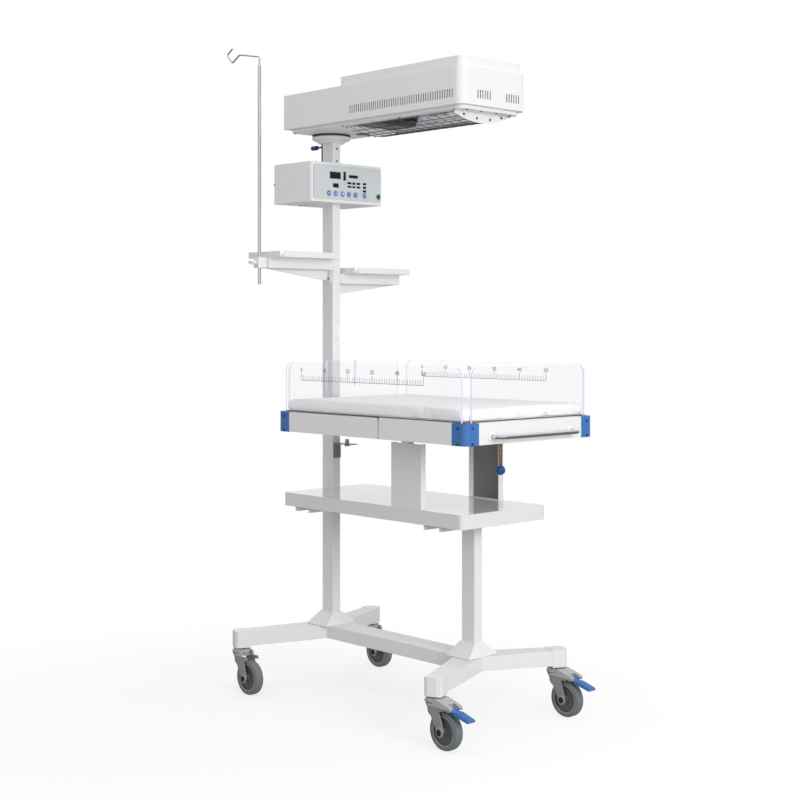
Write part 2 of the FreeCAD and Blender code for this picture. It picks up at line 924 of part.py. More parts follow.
def make_fork(name, x, y, braked):
    """The housing, stem, arms and axle of one caster, about its own stem."""
    trail, axle = d.caster_trail, d.wheel_radius
    top = d.leg_cap_bottom - d.fork_cap_gap
    crown = top - d.fork_cap_height
    half_gap = d.fork_inner_gap / 2
    outer = half_gap + d.fork_arm_thickness
    fork = Piece(f"{name}_fork")
    fork.pad("xy", crown, top, circle(0, 0, d.fork_cap_radius))
    fork.pad("xy", top, top + d.stem_depth, circle(0, 0, d.stem_radius))
    for side in (NEAR, FAR):
        arm = [(-d.stem_radius * 3, top - d.fork_arm_thickness), (d.fork_cap_radius, top - d.fork_arm_thickness),
               (trail + d.hub_boss_radius, axle, d.hub_boss_radius - 1),
               (trail, axle - d.hub_boss_radius, d.hub_boss_radius - 4),
               (trail - d.hub_boss_radius, axle)]
        fork.pad("xz", half_gap * side, outer * side, arm)
        fork.pad("xz", outer * side, (outer + d.axle_dome_height) * side,
                 circle(trail, axle, d.axle_dome_radius))
    if braked:
        reach = d.brake_housing_reach
        fork.pad("xz", -outer, outer, [
            (0, crown), (0, top), (d.fork_cap_radius, top), (reach, top - d.brake_housing_drop, d.brake_housing_edge),
            (reach, top - d.brake_housing_drop - d.brake_housing_lip), (trail, crown - d.brake_housing_rise)])
        slot = d.pedal_root_width / 2 + d.stem_radius / 8
        fork.pocket("xy", axle, top - d.brake_housing_drop * 2 / 3,
                    rectangle(trail + d.pedal_slot_start, reach + d.stem_radius, -slot, slot))
    fork.pad("xz", -half_gap - 1, half_gap + 1, circle(trail, axle, d.axle_radius))
    if braked:
        pin = pedal_pin()
        fork.pad("xz", -outer, outer, circle(pin[0], pin[1], d.pedal_pin_radius))
    return place(fork.body, x, y)


def pedal_pin():
    top = d.leg_cap_bottom - d.fork_cap_gap
    return d.brake_housing_reach - d.pedal_pin_radius * 3, top - d.brake_housing_drop - d.pedal_pin_radius * 3


def make_pedal(name, x, y):
    """The foot pedal that swings on the pin in a braked caster's housing."""
    pedal = Piece(name)
    pin_x, pin_z = pedal_pin()
    top = d.leg_cap_bottom - d.fork_cap_gap - d.pedal_drop
    start = d.brake_housing_reach + 1
    end = d.brake_housing_reach + d.pedal_length
    half, root = d.pedal_width / 2, d.pedal_root_width / 2
    eye = d.pedal_pin_radius * 2
    pedal.pad("xz", -root, root, circle(pin_x, pin_z, eye))
    pedal.pad("xz", -root, root, [
        (pin_x, pin_z + eye), (start, top), (start, top - d.pedal_thickness), (pin_x, pin_z - eye)])
    pedal.pad("xz", -half, half, [
        (start, top - d.pedal_thickness), (start, top), (start + d.pedal_flat, top),
        (end, top - d.pedal_fall, d.pedal_edge),
        (end - 1, top - d.pedal_fall - d.pedal_thickness, d.pedal_edge)])
    pedal.pocket("xz", -root, root, circle(pin_x, pin_z, d.pedal_pin_radius + d.thread_fit))
    return place(pedal.body, x, y)


def make_wheel(name, x, y):
    """Hub and tyre, two solids turned about the axle."""
    half_hub, half_tyre = d.hub_length / 2, d.wheel_width / 2
    rim = d.wheel_radius - d.tyre_depth
    hub = Piece(f"{name}_hub")
    web = half_tyre - 5
    hub.turn("xz", 0, [
        (d.hub_bore_radius, -half_hub), (d.hub_boss_radius, -half_hub), (d.hub_boss_radius, -web),
        (rim - 5, -web), (rim - 3, -half_tyre), (rim, -half_tyre), (rim, half_tyre), (rim - 3, half_tyre),
        (rim - 5, web), (d.hub_boss_radius, web), (d.hub_boss_radius, half_hub),
        (d.hub_bore_radius, half_hub)], "V_Axis")
    tyre = Piece(f"{name}_tyre")
    tread, edge = d.wheel_radius, d.tyre_edge
    tyre.turn("xz", 0, [
        (rim, -half_tyre), (tread - edge, -half_tyre), (tread - edge * 0.3, -half_tyre + edge * 0.3),
        (tread, -half_tyre + edge), (tread, half_tyre - edge),
        (tread - edge * 0.3, half_tyre - edge * 0.3), (tread - edge, half_tyre), (rim, half_tyre)], "V_Axis")
    wheel = group([hub.body, tyre.body], name)
    return place(wheel, x + d.caster_trail, y, d.wheel_radius, axis=Vector(1, 0, 0), angle=90)


def make_casters():
    for name, (reach, side) in LEGS.items():
        x = leg_root(reach, 0)[0] + reach
        braked = name.startswith("front")
        node(f"caster_fork_{name}", make_fork(name, x, side, braked))
        node(f"caster_wheel_{name}", make_wheel(f"{name}_wheel", x, side))
        if braked:
            node(f"brake_pedal_{name}", make_pedal(f"{name}_pedal", x, side))


# Shelf and uprights

def make_shelf():
    shelf = Piece("shelf")
    bottom = d.shelf_top - d.shelf_height
    wall = d.shelf_wall
    shelf.pad("xy", bottom, d.shelf_top, rectangle(
        -d.shelf_head_end, d.shelf_foot_end, -d.shelf_half_width, d.shelf_half_width, d.shelf_corner))
    shelf.pocket("xy", bottom, shelf_under, rectangle(
        wall - d.shelf_head_end, d.shelf_foot_end - wall,
        wall - d.shelf_half_width, d.shelf_half_width - wall, d.shelf_corner - wall))
    notch = column_side + 0.5
    shelf.pocket("xy", bottom, d.shelf_top, rectangle(
        -d.shelf_head_end, d.shelf_notch_depth - d.shelf_head_end, -notch, notch))
    node("shelf", shelf.body)


def make_uprights():
    uprights = []
    for side in (NEAR, FAR):
        upright = Piece("upright")
        outer = d.upright_half_width * side
        inner = (d.upright_half_width - d.upright_sheet) * side
        lip = (d.upright_half_width - d.upright_flange) * side
        head, foot, sheet = d.upright_head_edge, d.upright_foot_edge, d.upright_sheet
        upright.pad("xy", d.shelf_top, d.shelf_top + d.upright_rise, [
            (head, lip), (head, outer), (foot, outer), (foot, lip),
            (foot - sheet, lip), (foot - sheet, inner), (head + sheet, inner), (head + sheet, lip)])
        upright.pad("xy", d.shelf_top, d.shelf_top + sheet, rectangle(head, foot, outer, lip))
        ear = d.pivot_ear_radius
        upright.pad("xz", inner, outer, rectangle(
            d.pivot_x - ear, d.pivot_x + ear, d.shelf_top + d.upright_rise - sheet, pivot_height))
        boss = outer + d.pivot_boss_length * side
        upright.pad("xz", inner, boss, circle(d.pivot_x, pivot_height, ear))
        upright.pocket("xz", inner, boss, circle(d.pivot_x, pivot_height, d.pivot_radius + d.pivot_fit))
        uprights.append(upright.body)
    node("bed_uprights", group(uprights, "bed_uprights"))


def make_bed_stop():
    """The angle on the rear column whose bolt stops the bed's head-down tilt."""
    stop = Piece("bed_stop")
    top = bed_bottom - d.stop_clearance - d.stop_bolt_height
    start = -column_face
    half = d.stop_width / 2
    stop.pad("yz", start, start + d.stop_sheet, rectangle(-half, half, top - d.stop_plate_height, top))
    stop.pad("xy", top - d.stop_sheet, top, rectangle(start, start + d.stop_reach, -half, half))
    stop.pad("xy", top - d.stop_sheet - d.stop_nut_height, top - d.stop_sheet,
             circle(-d.stop_bolt_x, 0, d.stop_nut_radius))
    stop.pad("xy", top, top + d.stop_bolt_height, circle(-d.stop_bolt_x, 0, d.stop_bolt_radius))
    node("bed_stop", stop.body)


# Bed

def make_corner_blocks():
    """The four corner mouldings, each with a groove for two guards, and their screws' heads."""
    blocks, screws = [], []
    inset, slot = d.guard_slot_inset, d.guard_slot_width
    for end, sign in ((d.bed_foot_end, 1), (d.bed_head_end, -1)):
        for side in (NEAR, FAR):
            corner = Piece("corner_block")
            outer_x, outer_y = end * sign, d.bed_half_width * side
            inner_x = outer_x - d.corner_length * sign
            inner_y = outer_y - d.corner_width * side
            corner.pad("xy", bed_bottom, bed_top, [
                (inner_x, inner_y), (outer_x, inner_y), (outer_x, outer_y, d.corner_radius), (inner_x, outer_y)])
            wall_x, wall_y = outer_x - inset * sign, outer_y - inset * side
            core_x, core_y = wall_x - slot * sign, wall_y - slot * side
            corner.pocket("xy", slot_bottom, bed_top, [
                (inner_x, wall_y), (wall_x, wall_y), (wall_x, inner_y),
                (core_x, inner_y), (core_x, core_y), (inner_x, core_y)])
            blocks.append(corner.body)
            screw_x, screw_y = outer_x - d.corner_screw_x * sign, outer_y - d.corner_screw_y * side
            for height in (bed_bottom + d.corner_screw_low, bed_top - d.corner_screw_high):
                screws.append(rod("y", outer_y, outer_y + d.corner_screw_height * side,
                                  (screw_x, height), d.corner_screw_radius, "corner_screw"))
                screws.append(rod("x", outer_x, outer_x + d.corner_screw_height * sign,
                                  (screw_y, height), d.corner_screw_radius, "corner_screw"))
    node("corner_blocks", group(blocks + screws, "corner_blocks"))


def make_rail(name, axis, outer, sign, start, end):
    """A built-up rail: an outer plate, an inner plate and the web between them that the guard stands on."""
    def across(distance):
        return outer - sign * distance
    inset, slot = d.guard_slot_inset, d.guard_slot_width
    strips = (
        ("outer", across(0), across(inset), rail_bottom, bed_top),
        ("web", across(inset), across(inset + slot), slot_bottom - d.rail_web, slot_bottom),
        ("inner", across(inset + slot), across(d.rail_thickness), rail_bottom, bed_top))
    plates = []
    for part, low, high, bottom, top in strips:
        x, y = ((start, end), (low, high)) if axis == "x" else ((low, high), (start, end))
        plates.append(block(x, y, (bottom, top), f"{name}_{part}"))
    return plates


def make_rails():
    block_head = d.corner_length - d.bed_head_end
    block_foot = d.bed_foot_end - d.corner_length
    inner_y = d.bed_half_width - d.corner_width
    rails = make_rail("far", "x", d.bed_half_width, 1, block_head, block_foot)
    rails += make_rail("near", "x", -d.bed_half_width, -1, d.drawer_front_end + d.drawer_gap, block_foot)
    rails += make_rail("head", "y", -d.bed_head_end, -1, -inner_y, inner_y)
    rails += make_rail("foot", "y", d.bed_foot_end, 1, -inner_y, inner_y)
    node("bed_rails", group(rails, "bed_rails"))


def board_outline(inset, radius=None):
    half = d.bed_half_width - d.board_inset - inset
    return rectangle(d.board_head_inset + inset - d.bed_head_end,
                     d.bed_foot_end - d.board_head_inset - inset, -half, half, radius)


def make_board_and_mattress():
    board = Piece("bed_board")
    board.pad("xy", bed_top, board_top, board_outline(as_size(0)))
    node("bed_board", board.body)
    mattress = Piece("mattress")
    mattress.pad("xy", board_top, board_top + d.mattress_thickness,
                 board_outline(d.mattress_inset, d.mattress_corner))
    node("mattress", mattress.body)


def crossbar_groove(bar, face, sign):
    """The two flanges on a crossbar's face that hold the drawer's edge between them."""
    tray_bottom = bed_bottom + d.drawer_tray_rise
    tray_top = tray_bottom + d.drawer_tray_height
    gap = d.drawer_gap_under
    end = face + d.crossbar_flange * sign
    start_y = -inner_near_guard if sign > 0 else -inner_near_rail
    bar.pad("xy", crossbar_bottom, tray_bottom - gap, rectangle(face, end, start_y, inner_near_rail))
    bar.pad("xy", tray_top + gap, tray_top + gap + d.crossbar_sheet,
            rectangle(face, end, start_y, inner_near_rail))


def make_subframe():
    """The welded crossbars, strap, spine, pivot lugs and guides under the bed."""
    sheet_t = d.crossbar_sheet
    head_face = d.corner_length - d.bed_head_end
    start_y = -inner_near_guard
    head_bar = Piece("head_crossbar")
    head_bar.pad("xy", crossbar_bottom, bed_top,
                 rectangle(head_face, head_face + sheet_t, start_y, inner_near_rail))
    crossbar_groove(head_bar, head_face + sheet_t, 1)
    head_bar.pad("xy", bed_top - sheet_t, bed_top, rectangle(
        head_face, head_face + sheet_t + d.crossbar_flange, start_y, inner_near_rail))

    bar_start = d.pivot_x - d.lug_radius
    bar_end = bar_start + d.pivot_bar_length
    pivot_bar = Piece("pivot_crossbar")
    pivot_bar.pad("xz", -inner_near_rail, inner_near_rail,
                  rectangle(bar_start, bar_end, crossbar_bottom, bed_top),
                  rectangle(bar_start + sheet_t, bar_end - sheet_t, crossbar_bottom + sheet_t, bed_top - sheet_t))
    crossbar_groove(pivot_bar, bar_start, -1)

    strap = Piece("strap")
    strap.pad("xy", crossbar_bottom - d.strap_thickness, crossbar_bottom, rectangle(
        head_face, bar_end, -d.strap_half_width, d.strap_half_width))

    spine = Piece("spine")
    centre, half = -d.spine_centre_y, d.spine_width / 2
    wall = d.spine_sheet
    low = bed_top - d.spine_height
    spine.pad("yz", bar_end, d.bed_foot_end - d.rail_thickness, [
        (centre - half, low), (centre - half, bed_top), (centre + half, bed_top), (centre + half, low),
        (centre + half - wall, low), (centre + half - wall, bed_top - wall),
        (centre - half + wall, bed_top - wall), (centre - half + wall, low)])
    lever_pivot = bed_bottom + d.lever_pivot_rise
    spine.pad("xz", centre - half, centre + half, circle(d.lever_x, lever_pivot, d.lever_pin_radius))
    release = lever_pivot - d.release_drop
    hole = d.release_radius + d.thread_fit
    near_guide, far_guide = d.guide_x, d.spring_x + d.far_guide_offset
    spine.pad("yz", near_guide, near_guide + d.guide_thickness,
              rectangle(centre - half, centre + half, release - d.guide_radius, low + wall))
    spine.pocket("yz", near_guide, near_guide + d.guide_thickness, circle(centre, release, hole))
    strap.pad("yz", far_guide, far_guide + d.guide_thickness, rectangle(
        -d.strap_half_width, centre + d.guide_radius, release - d.guide_radius, crossbar_bottom))
    strap.pocket("yz", far_guide, far_guide + d.guide_thickness, circle(centre, release, hole))

    parts = [head_bar.body, pivot_bar.body, strap.body, spine.body]
    for side in (NEAR, FAR):
        lug = Piece("pivot_lug")
        inner, outer = d.lug_inner * side, (d.lug_inner + d.lug_thickness) * side
        stud_end = (d.upright_half_width + d.pivot_boss_length) * side
        lug.pad("xz", inner, outer, circle(d.pivot_x, pivot_height, d.lug_radius))
        lug.pad("xz", inner, outer, rectangle(
            d.pivot_x - d.lug_radius, d.pivot_x + d.lug_radius, pivot_height, crossbar_bottom + sheet_t))
        lug.pad("xz", outer, stud_end, circle(d.pivot_x, pivot_height, d.pivot_radius))
        parts.append(lug.body)
    node("bed_subframe", fuse(parts, "bed_subframe"))


def make_handle():
    handle = Piece("foot_handle")
    height = bed_bottom + d.handle_rise
    half = d.handle_half_width
    spine = handle.sketch("xy", height)
    draw_path(spine, [(d.bed_foot_end, -half), (d.handle_x, -half, d.handle_bend),
                      (d.handle_x, half, d.handle_bend), (d.bed_foot_end, half)])
    profile = handle.sketch("yz", d.bed_foot_end, [circle(-half, height, d.handle_radius)])
    pipe = handle.body.newObject("PartDesign::AdditivePipe", "handle_bar")
    pipe.Profile = profile
    pipe.Spine = (spine, [])
    handle.tip(pipe)
    for side in (NEAR, FAR):
        handle.pad("yz", d.bed_foot_end, d.bed_foot_end + d.handle_rosette_height,
                   circle(half * side, height, d.handle_rosette_radius))
    node("foot_handle", handle.body)


def make_drawer():
    """The front plate and the tray behind it, fixed face to face."""
    front = Piece("drawer_front")
    drawer = Piece("drawer_tray")
    front_back = d.drawer_front_thickness - d.bed_half_width
    tray_bottom = bed_bottom + d.drawer_tray_rise
    tray_top = tray_bottom + d.drawer_tray_height
    front_top = bed_top - d.drawer_gap_under * 2
    front.pad("xz", -d.bed_half_width, front_back, [
        (-d.drawer_front_start, rail_bottom), (d.drawer_front_end, rail_bottom),
        (d.drawer_front_end, front_top, d.drawer_front_corner), (-d.drawer_front_start, front_top)])
    half = d.drawer_half_length
    back = front_back + d.drawer_depth
    drawer.pad("xy", tray_bottom, tray_top, rectangle(-half, half, front_back, back))
    wall = d.drawer_wall
    drawer.pocket("xy", tray_bottom + wall, tray_top,
                  rectangle(wall - half, half - wall, front_back + wall, back - wall))
    node("cassette_drawer", group([front.body, drawer.body], "cassette_drawer"))


# Tilt lever, release rod and gas spring

def make_lever():
    pivot = bed_bottom + d.lever_pivot_rise
    eye = Piece("lever_eye")
    half = d.lever_eye_width / 2
    start, end = -d.spine_centre_y - half, -d.spine_centre_y + half
    eye.pad("xz", start, end, circle(d.lever_x, pivot, d.lever_eye_radius))
    low = pivot - d.lever_length
    shaft = rod("z", low, pivot - d.lever_eye_radius / 2, (d.lever_x, -d.spine_centre_y), d.lever_radius)
    ball = doc.addObject("Part::Sphere", "lever_ball")
    bind(ball, "Radius", d.lever_ball_radius)
    place(ball, d.lever_x, -d.spine_centre_y, low)
    hole = rod("y", start, end, (d.lever_x, pivot), d.lever_pin_radius + d.thread_fit)
    node("tilt_lever", cut(fuse([eye.body, shaft, ball]), [hole], "tilt_lever"))


def make_release_rod():
    height = bed_bottom + d.lever_pivot_rise - d.release_drop
    ring_edge = d.lever_x - d.release_ring_bore - 1
    bar = rod("x", d.release_end_x, ring_edge, (-d.spine_centre_y, height), d.release_radius)
    half = d.release_ring_thickness / 2
    ring = Piece("release_ring")
    ring.pad("xy", height - half, height + half,
             circle(d.lever_x, -d.spine_centre_y, d.release_ring_radius),
             circle(d.lever_x, -d.spine_centre_y, d.release_ring_bore))
    node("release_rod", fuse([bar, ring.body], "release_rod"))


def make_gas_spring():
    body = Piece("gas_spring_cylinder")
    foot_top = d.shelf_top + d.spring_foot_height
    body_top = foot_top + d.spring_body_height
    bore = d.spring_rod_radius + d.thread_fit
    body.turn("xz", 0, [
        (0, d.shelf_top), (d.spring_foot_radius, d.shelf_top), (d.spring_foot_radius, foot_top),
        (d.spring_body_radius, foot_top), (d.spring_body_radius, body_top), (bore, body_top),
        (bore, foot_top + d.spring_end_wall), (0, foot_top + d.spring_end_wall)], "V_Axis")
    node("gas_spring_cylinder", place(body.body, d.spring_x))
    spring_rod = Piece("gas_spring_rod")
    head_top = crossbar_bottom - d.strap_thickness - d.guard_seat_gap
    head_low = head_top - d.spring_head_height
    head, stem = d.spring_head_radius, d.spring_rod_radius
    spring_rod.turn("xz", 0, [
        (0, body_top - d.spring_rod_inside), (stem, body_top - d.spring_rod_inside), (stem, head_low),
        (head, head_low), (head, head_top - d.spring_head_height / 3),
        (head / 4, head_top), (0, head_top)], "V_Axis")
    node("gas_spring_rod", place(spring_rod.body, d.spring_x))


# Guards

def make_guards():
    bottom = slot_bottom + d.guard_seat_gap
    top = bed_top + d.guard_rise
    middle = d.guard_slot_inset + d.guard_slot_width / 2
    half = d.guard_thickness / 2
    head_end = d.guard_side_head_inset - d.bed_head_end
    foot_end = d.bed_foot_end - d.guard_side_foot_inset
    for name, side in (("guard_near", NEAR), ("guard_far", FAR)):
        guard = Piece(name)
        face = (d.bed_half_width - middle) * side
        guard.pad("xz", face - half, face + half, [
            (head_end, bottom), (foot_end, bottom), (foot_end, top, d.guard_corner),
            (head_end, top, d.guard_corner)])
        node(name, guard.body)
    for name, face, inset in (("guard_foot", d.bed_foot_end - middle, d.guard_foot_inset),
                              ("guard_head", middle - d.bed_head_end, d.guard_head_inset)):
        reach = d.bed_half_width - inset
        guard = Piece(name)
        guard.pad("yz", face - half, face + half, [
            (-reach, bottom), (reach, bottom), (reach, top, d.guard_corner), (-reach, top, d.guard_corner)])
        if name == "guard_head":
            slit = d.guard_slit_width / 2
            for spot in (-d.guard_slit_near, d.guard_slit_far):
                guard.pocket("yz", face - half, face + half,
                             rectangle(spot - slit, spot + slit, top - d.guard_slit_depth, top))
        node(name, guard.body)


# Instrument trays, arms and pole

def make_tray(side, height):
    tray = Piece("tray")
    x0 = -d.tray_head_end
    x1 = d.tray_length - d.tray_head_end
    y0, y1 = ordered(d.tray_inner_side * side, d.tray_outer_side * side)
    notch, wall = d.tray_notch, d.tray_sheet
    tray.pad("xy", height, height + wall, [
        (x0 + notch, y0), (x1 - notch, y0), (x1 - notch, y0 + notch), (x1, y0 + notch),
        (x1, y1 - notch), (x1 - notch, y1 - notch), (x1 - notch, y1), (x0 + notch, y1),
        (x0 + notch, y1 - notch), (x0, y1 - notch), (x0, y0 + notch), (x0 + notch, y0 + notch)])
    lips = [rectangle(x0 + notch, x1 - notch, y0, y0 + wall), rectangle(x0 + notch, x1 - notch, y1 - wall, y1),
            rectangle(x0, x0 + wall, y0 + notch, y1 - notch), rectangle(x1 - wall, x1, y0 + notch, y1 - notch)]
    tray.pad("xy", height, height + d.tray_lip, *lips)
    return tray.body


def make_arm(side):
    """A channel arm on the column's side, with its gusset and screwed flange."""
    bottom = arm_bottom[side]
    top = bottom + d.arm_height
    wall = d.arm_sheet
    arm = Piece("tray_arm")
    arm.pad("xz", column_side * side, d.arm_outer_side * side, [
        (-column_back, bottom), (-column_back, top), (-column_face, top), (-column_face, bottom),
        (-column_face - wall, bottom), (-column_face - wall, top - wall),
        (-column_back + wall, top - wall), (-column_back + wall, bottom)])
    arm.pad("xz", (d.arm_outer_side - wall) * side, d.arm_outer_side * side,
            rectangle(-column_back, -column_face, bottom, top))
    half = d.gusset_thickness / 2
    arm.pad("yz", -d.column_offset - half, half - d.column_offset, [
        (column_side * side, top - wall), (d.arm_outer_side * side, top - wall),
        (d.arm_outer_side * side, bottom), (column_side * side, bottom - d.gusset_drop)])
    flange = d.gusset_flange_width / 2
    arm.pad("xz", column_side * side, (column_side + d.gusset_flange_thickness) * side, rectangle(
        -d.column_offset - flange, flange - d.column_offset, bottom - d.gusset_drop - d.gusset_flange_drop, top - wall))
    return arm.body


def make_trays():
    heights = {NEAR: d.upper_tray_height, FAR: d.lower_tray_height}
    node("instrument_trays", group([make_tray(side, height) for side, height in heights.items()], "trays"))
    node("tray_brackets", group([make_arm(NEAR), make_arm(FAR)], "tray_arms"))


def make_pole_clamp():
    bottom = arm_bottom[NEAR]
    top = bottom + d.arm_height
    clamp = Piece("pole_clamp")
    start = -d.arm_outer_side
    half = d.clamp_half_width
    centre = -d.column_offset
    clamp.pad("xy", bottom, top, [
        (centre - half, start), (centre + half, start), (centre + half, start - d.clamp_length, 5),
        (centre - half, start - d.clamp_length, 5)])
    clamp.pocket("xy", bottom, top, circle(centre, -d.pole_side, d.pole_radius + d.pole_fit))
    screw = d.clamp_screw_radius + d.thread_fit
    clamp.pocket("xz", start - d.clamp_length, -d.pole_side, circle(centre, (bottom + top) / 2, screw))
    node("pole_clamp", clamp.body)

    knob = Piece("clamp_knob")
    face = start - d.clamp_length - 1
    height = (bottom + top) / 2
    tip = -d.pole_side - d.pole_radius - 0.5
    knob.pad("xz", face, tip, circle(centre, height, d.clamp_screw_radius))
    knob.pad("xz", face - d.clamp_knob_length, face, circle(centre, height, d.clamp_knob_radius * 0.65))
    wing = d.clamp_knob_radius * 1.3
    web = d.clamp_knob_radius / 4
    knob.pad("xz", face - d.clamp_knob_length, face - 5,
             rectangle(centre - wing, centre + wing, height - web, height + web, web * 0.8))
    node("clamp_knob", knob.body)


def make_pole():
    bottom = arm_bottom[NEAR] - d.pole_below_clamp
    top = bottom + d.pole_length
    centre = (-d.column_offset, -d.pole_side)
    pole = Piece("pole_tube")
    pole.pad("xy", bottom, top, circle(*centre, d.pole_radius), circle(*centre, d.pole_bore_radius))
    node("pole_tube", pole.body)
    hook = Piece("pole_hook")
    path = hook.sketch("xz", -d.pole_side)
    x, bend = -d.column_offset, d.hook_radius * 3
    draw_path(path, [
        (x, top - d.hook_seat), (x, top + d.hook_knee_rise, bend),
        (x - d.hook_crest_reach, top + d.hook_crest_rise, bend * 2),
        (x - d.hook_valley_reach, top + d.hook_valley_rise, bend),
        (x - d.hook_bow_reach, top + d.hook_bow_rise, bend),
        (x - d.hook_tip_reach, top + d.hook_tip_rise)])
    profile = hook.sketch("xy", top - d.hook_seat, [circle(*centre, d.hook_radius)])
    pipe = hook.body.newObject("PartDesign::AdditivePipe", "hook_rod")
    pipe.Profile = profile
    pipe.Spine = (path, [])
    hook.tip(pipe)
    node("pole_hook", hook.body)


# Control box

# Each window's place on the panel: its start and end from the near edge, then its bottom and top.
PANEL_WINDOWS = {
    "temperature_display": (60, 103, 61, 82),
    "level_bar": (113, 123, 58, 85),
    "set_display": (135, 171, 67, 76.5),
    "timer_display": (72, 95, 35, 48),
}


def panel_windows():
    windows = list(PANEL_WINDOWS.values())
    for low, high in ((48, 55), (38, 44)):
        windows += [(129, 145, low, high), (149, 161, low, high), (166, 180, low, high)]
    windows += [(191, 204.5, low, low + 7) for low in (27, 38, 49)]
    near, low_edge = -d.panel_near_side, panel_bottom
    return [rectangle(near + a, near + b, low_edge + c, low_edge + e) for a, b, c, e in windows]


def make_control_box():
    box = Piece("control_box")
    wall = d.box_wall
    outline = (-d.box_rear, -d.box_front, -d.box_half_width, d.box_half_width)
    inner = (wall - d.box_rear, -d.box_front - wall, wall - d.box_half_width, d.box_half_width - wall)
    box.pad("xy", d.box_bottom, box_top, rectangle(*outline, d.box_corner))
    box.pocket("xy", d.box_bottom + wall, box_top - wall, rectangle(*inner, d.box_corner - wall))
    inlet_back = d.inlet_depth + wall * 2 - d.box_rear
    inlet_low = d.box_bottom + d.inlet_rise
    half_inlet, half_switch = d.inlet_width / 2, d.switch_width / 2
    box.pad("yz", -d.box_rear, inlet_back, rectangle(
        d.inlet_side - half_inlet - wall, d.switch_side + half_switch + wall,
        inlet_low - wall, inlet_low + d.inlet_tall + wall))
    box.pocket("xy", d.box_bottom, box_top, column_outline(-d.column_offset))
    box.pocket("yz", -d.box_rear, d.inlet_depth - d.box_rear, rectangle(
        d.inlet_side - half_inlet, d.inlet_side + half_inlet, inlet_low, inlet_low + d.inlet_tall))
    box.pocket("yz", -d.box_rear, d.switch_depth - d.box_rear, rectangle(
        d.switch_side - half_switch, d.switch_side + half_switch, inlet_low, inlet_low + d.switch_tall))
    pins = [rectangle(d.inlet_side + spot - 1, d.inlet_side + spot + 1, inlet_low + low, inlet_low + low + 5)
            for spot, low in ((-7, 6), (0, 11), (7, 6))]
    box.pad("yz", d.inlet_depth - d.box_rear - d.inlet_pin_length, d.inlet_depth - d.box_rear, *pins)
    box.pad("xz", d.switch_side - half_switch, d.switch_side + half_switch, circle(
        d.switch_depth / 2 - d.box_rear, inlet_low + d.switch_tall / 2, d.switch_pin_radius))
    stems = [circle(side, d.box_bottom + d.panel_margin + d.key_rise, d.key_stem_radius + d.key_clearance)
             for side in KEY_SIDES]
    socket = circle(d.socket_side, panel_bottom + d.socket_rise, d.socket_sleeve_radius)
    box.pocket("yz", -d.box_front - wall, -d.box_front, *stems, socket)
    node("control_box", box.body)


def make_control_panel():
    panel = Piece("control_panel")
    back = -d.box_front
    keys = [circle(side, panel_bottom + d.key_rise, d.key_radius + d.key_clearance) for side in KEY_SIDES]
    panel.pad("yz", back, panel_face, rectangle(
        -d.panel_near_side, d.panel_far_side, panel_bottom, panel_bottom + d.panel_height, 6), *keys)
    panel.pocket("yz", panel_face - d.window_depth, panel_face, *panel_windows())
    spot = (d.socket_side, panel_bottom + d.socket_rise)
    panel.pad("yz", panel_face, panel_face + d.socket_ring_height, circle(*spot, d.socket_ring_radius))
    mouth = panel_face + d.socket_ring_height
    panel.pad("yz", mouth - d.socket_depth - 2, back, circle(*spot, d.socket_sleeve_radius))
    panel.pocket("yz", mouth - d.socket_depth, mouth, circle(*spot, d.socket_bore_radius))
    node("control_panel", panel.body)


def make_keys():
    for number, side in enumerate(KEY_SIDES, start=1):
        name = f"function_key_{number}"
        key = Piece(name)
        face = panel_face + d.key_proud
        back = -d.box_front + d.key_travel + d.key_back_gap
        bevel = d.key_bevel
        key.turn("xz", 0, [
            (back - d.key_stem_length, 0), (back - d.key_stem_length, d.key_stem_radius),
            (back, d.key_stem_radius), (back, d.key_radius), (face - bevel, d.key_radius),
            (face, d.key_radius - bevel), (face, 0)], "H_Axis")
        node(name, place(key.body, y=side, z=panel_bottom + d.key_rise))


def make_power_switch():
    """A rocker that tips about the pin inside its recess."""
    rocker = Piece("power_switch")
    pin_x = d.switch_depth / 2 - d.box_rear
    pin_z = d.box_bottom + d.inlet_rise + d.switch_tall / 2
    face = -d.box_rear - d.switch_proud
    half_tall = d.switch_tall / 2 - 1
    half_wide = d.switch_width / 2 - 0.5
    back = pin_x + d.switch_pin_radius + 1.5
    rocker.pad("xz", d.switch_side - half_wide, d.switch_side + half_wide, [
        (back, pin_z - 4), (back, pin_z + 4), (pin_x - 2, pin_z + half_tall), (face, pin_z + half_tall),
        (face + 2, pin_z), (face, pin_z - half_tall), (pin_x - 2, pin_z - half_tall)])
    rocker.pocket("xz", d.switch_side - half_wide, d.switch_side + half_wide,
                  circle(pin_x, pin_z, d.switch_pin_radius + d.thread_fit))
    node("power_switch", rocker.body)


# Swivel collar

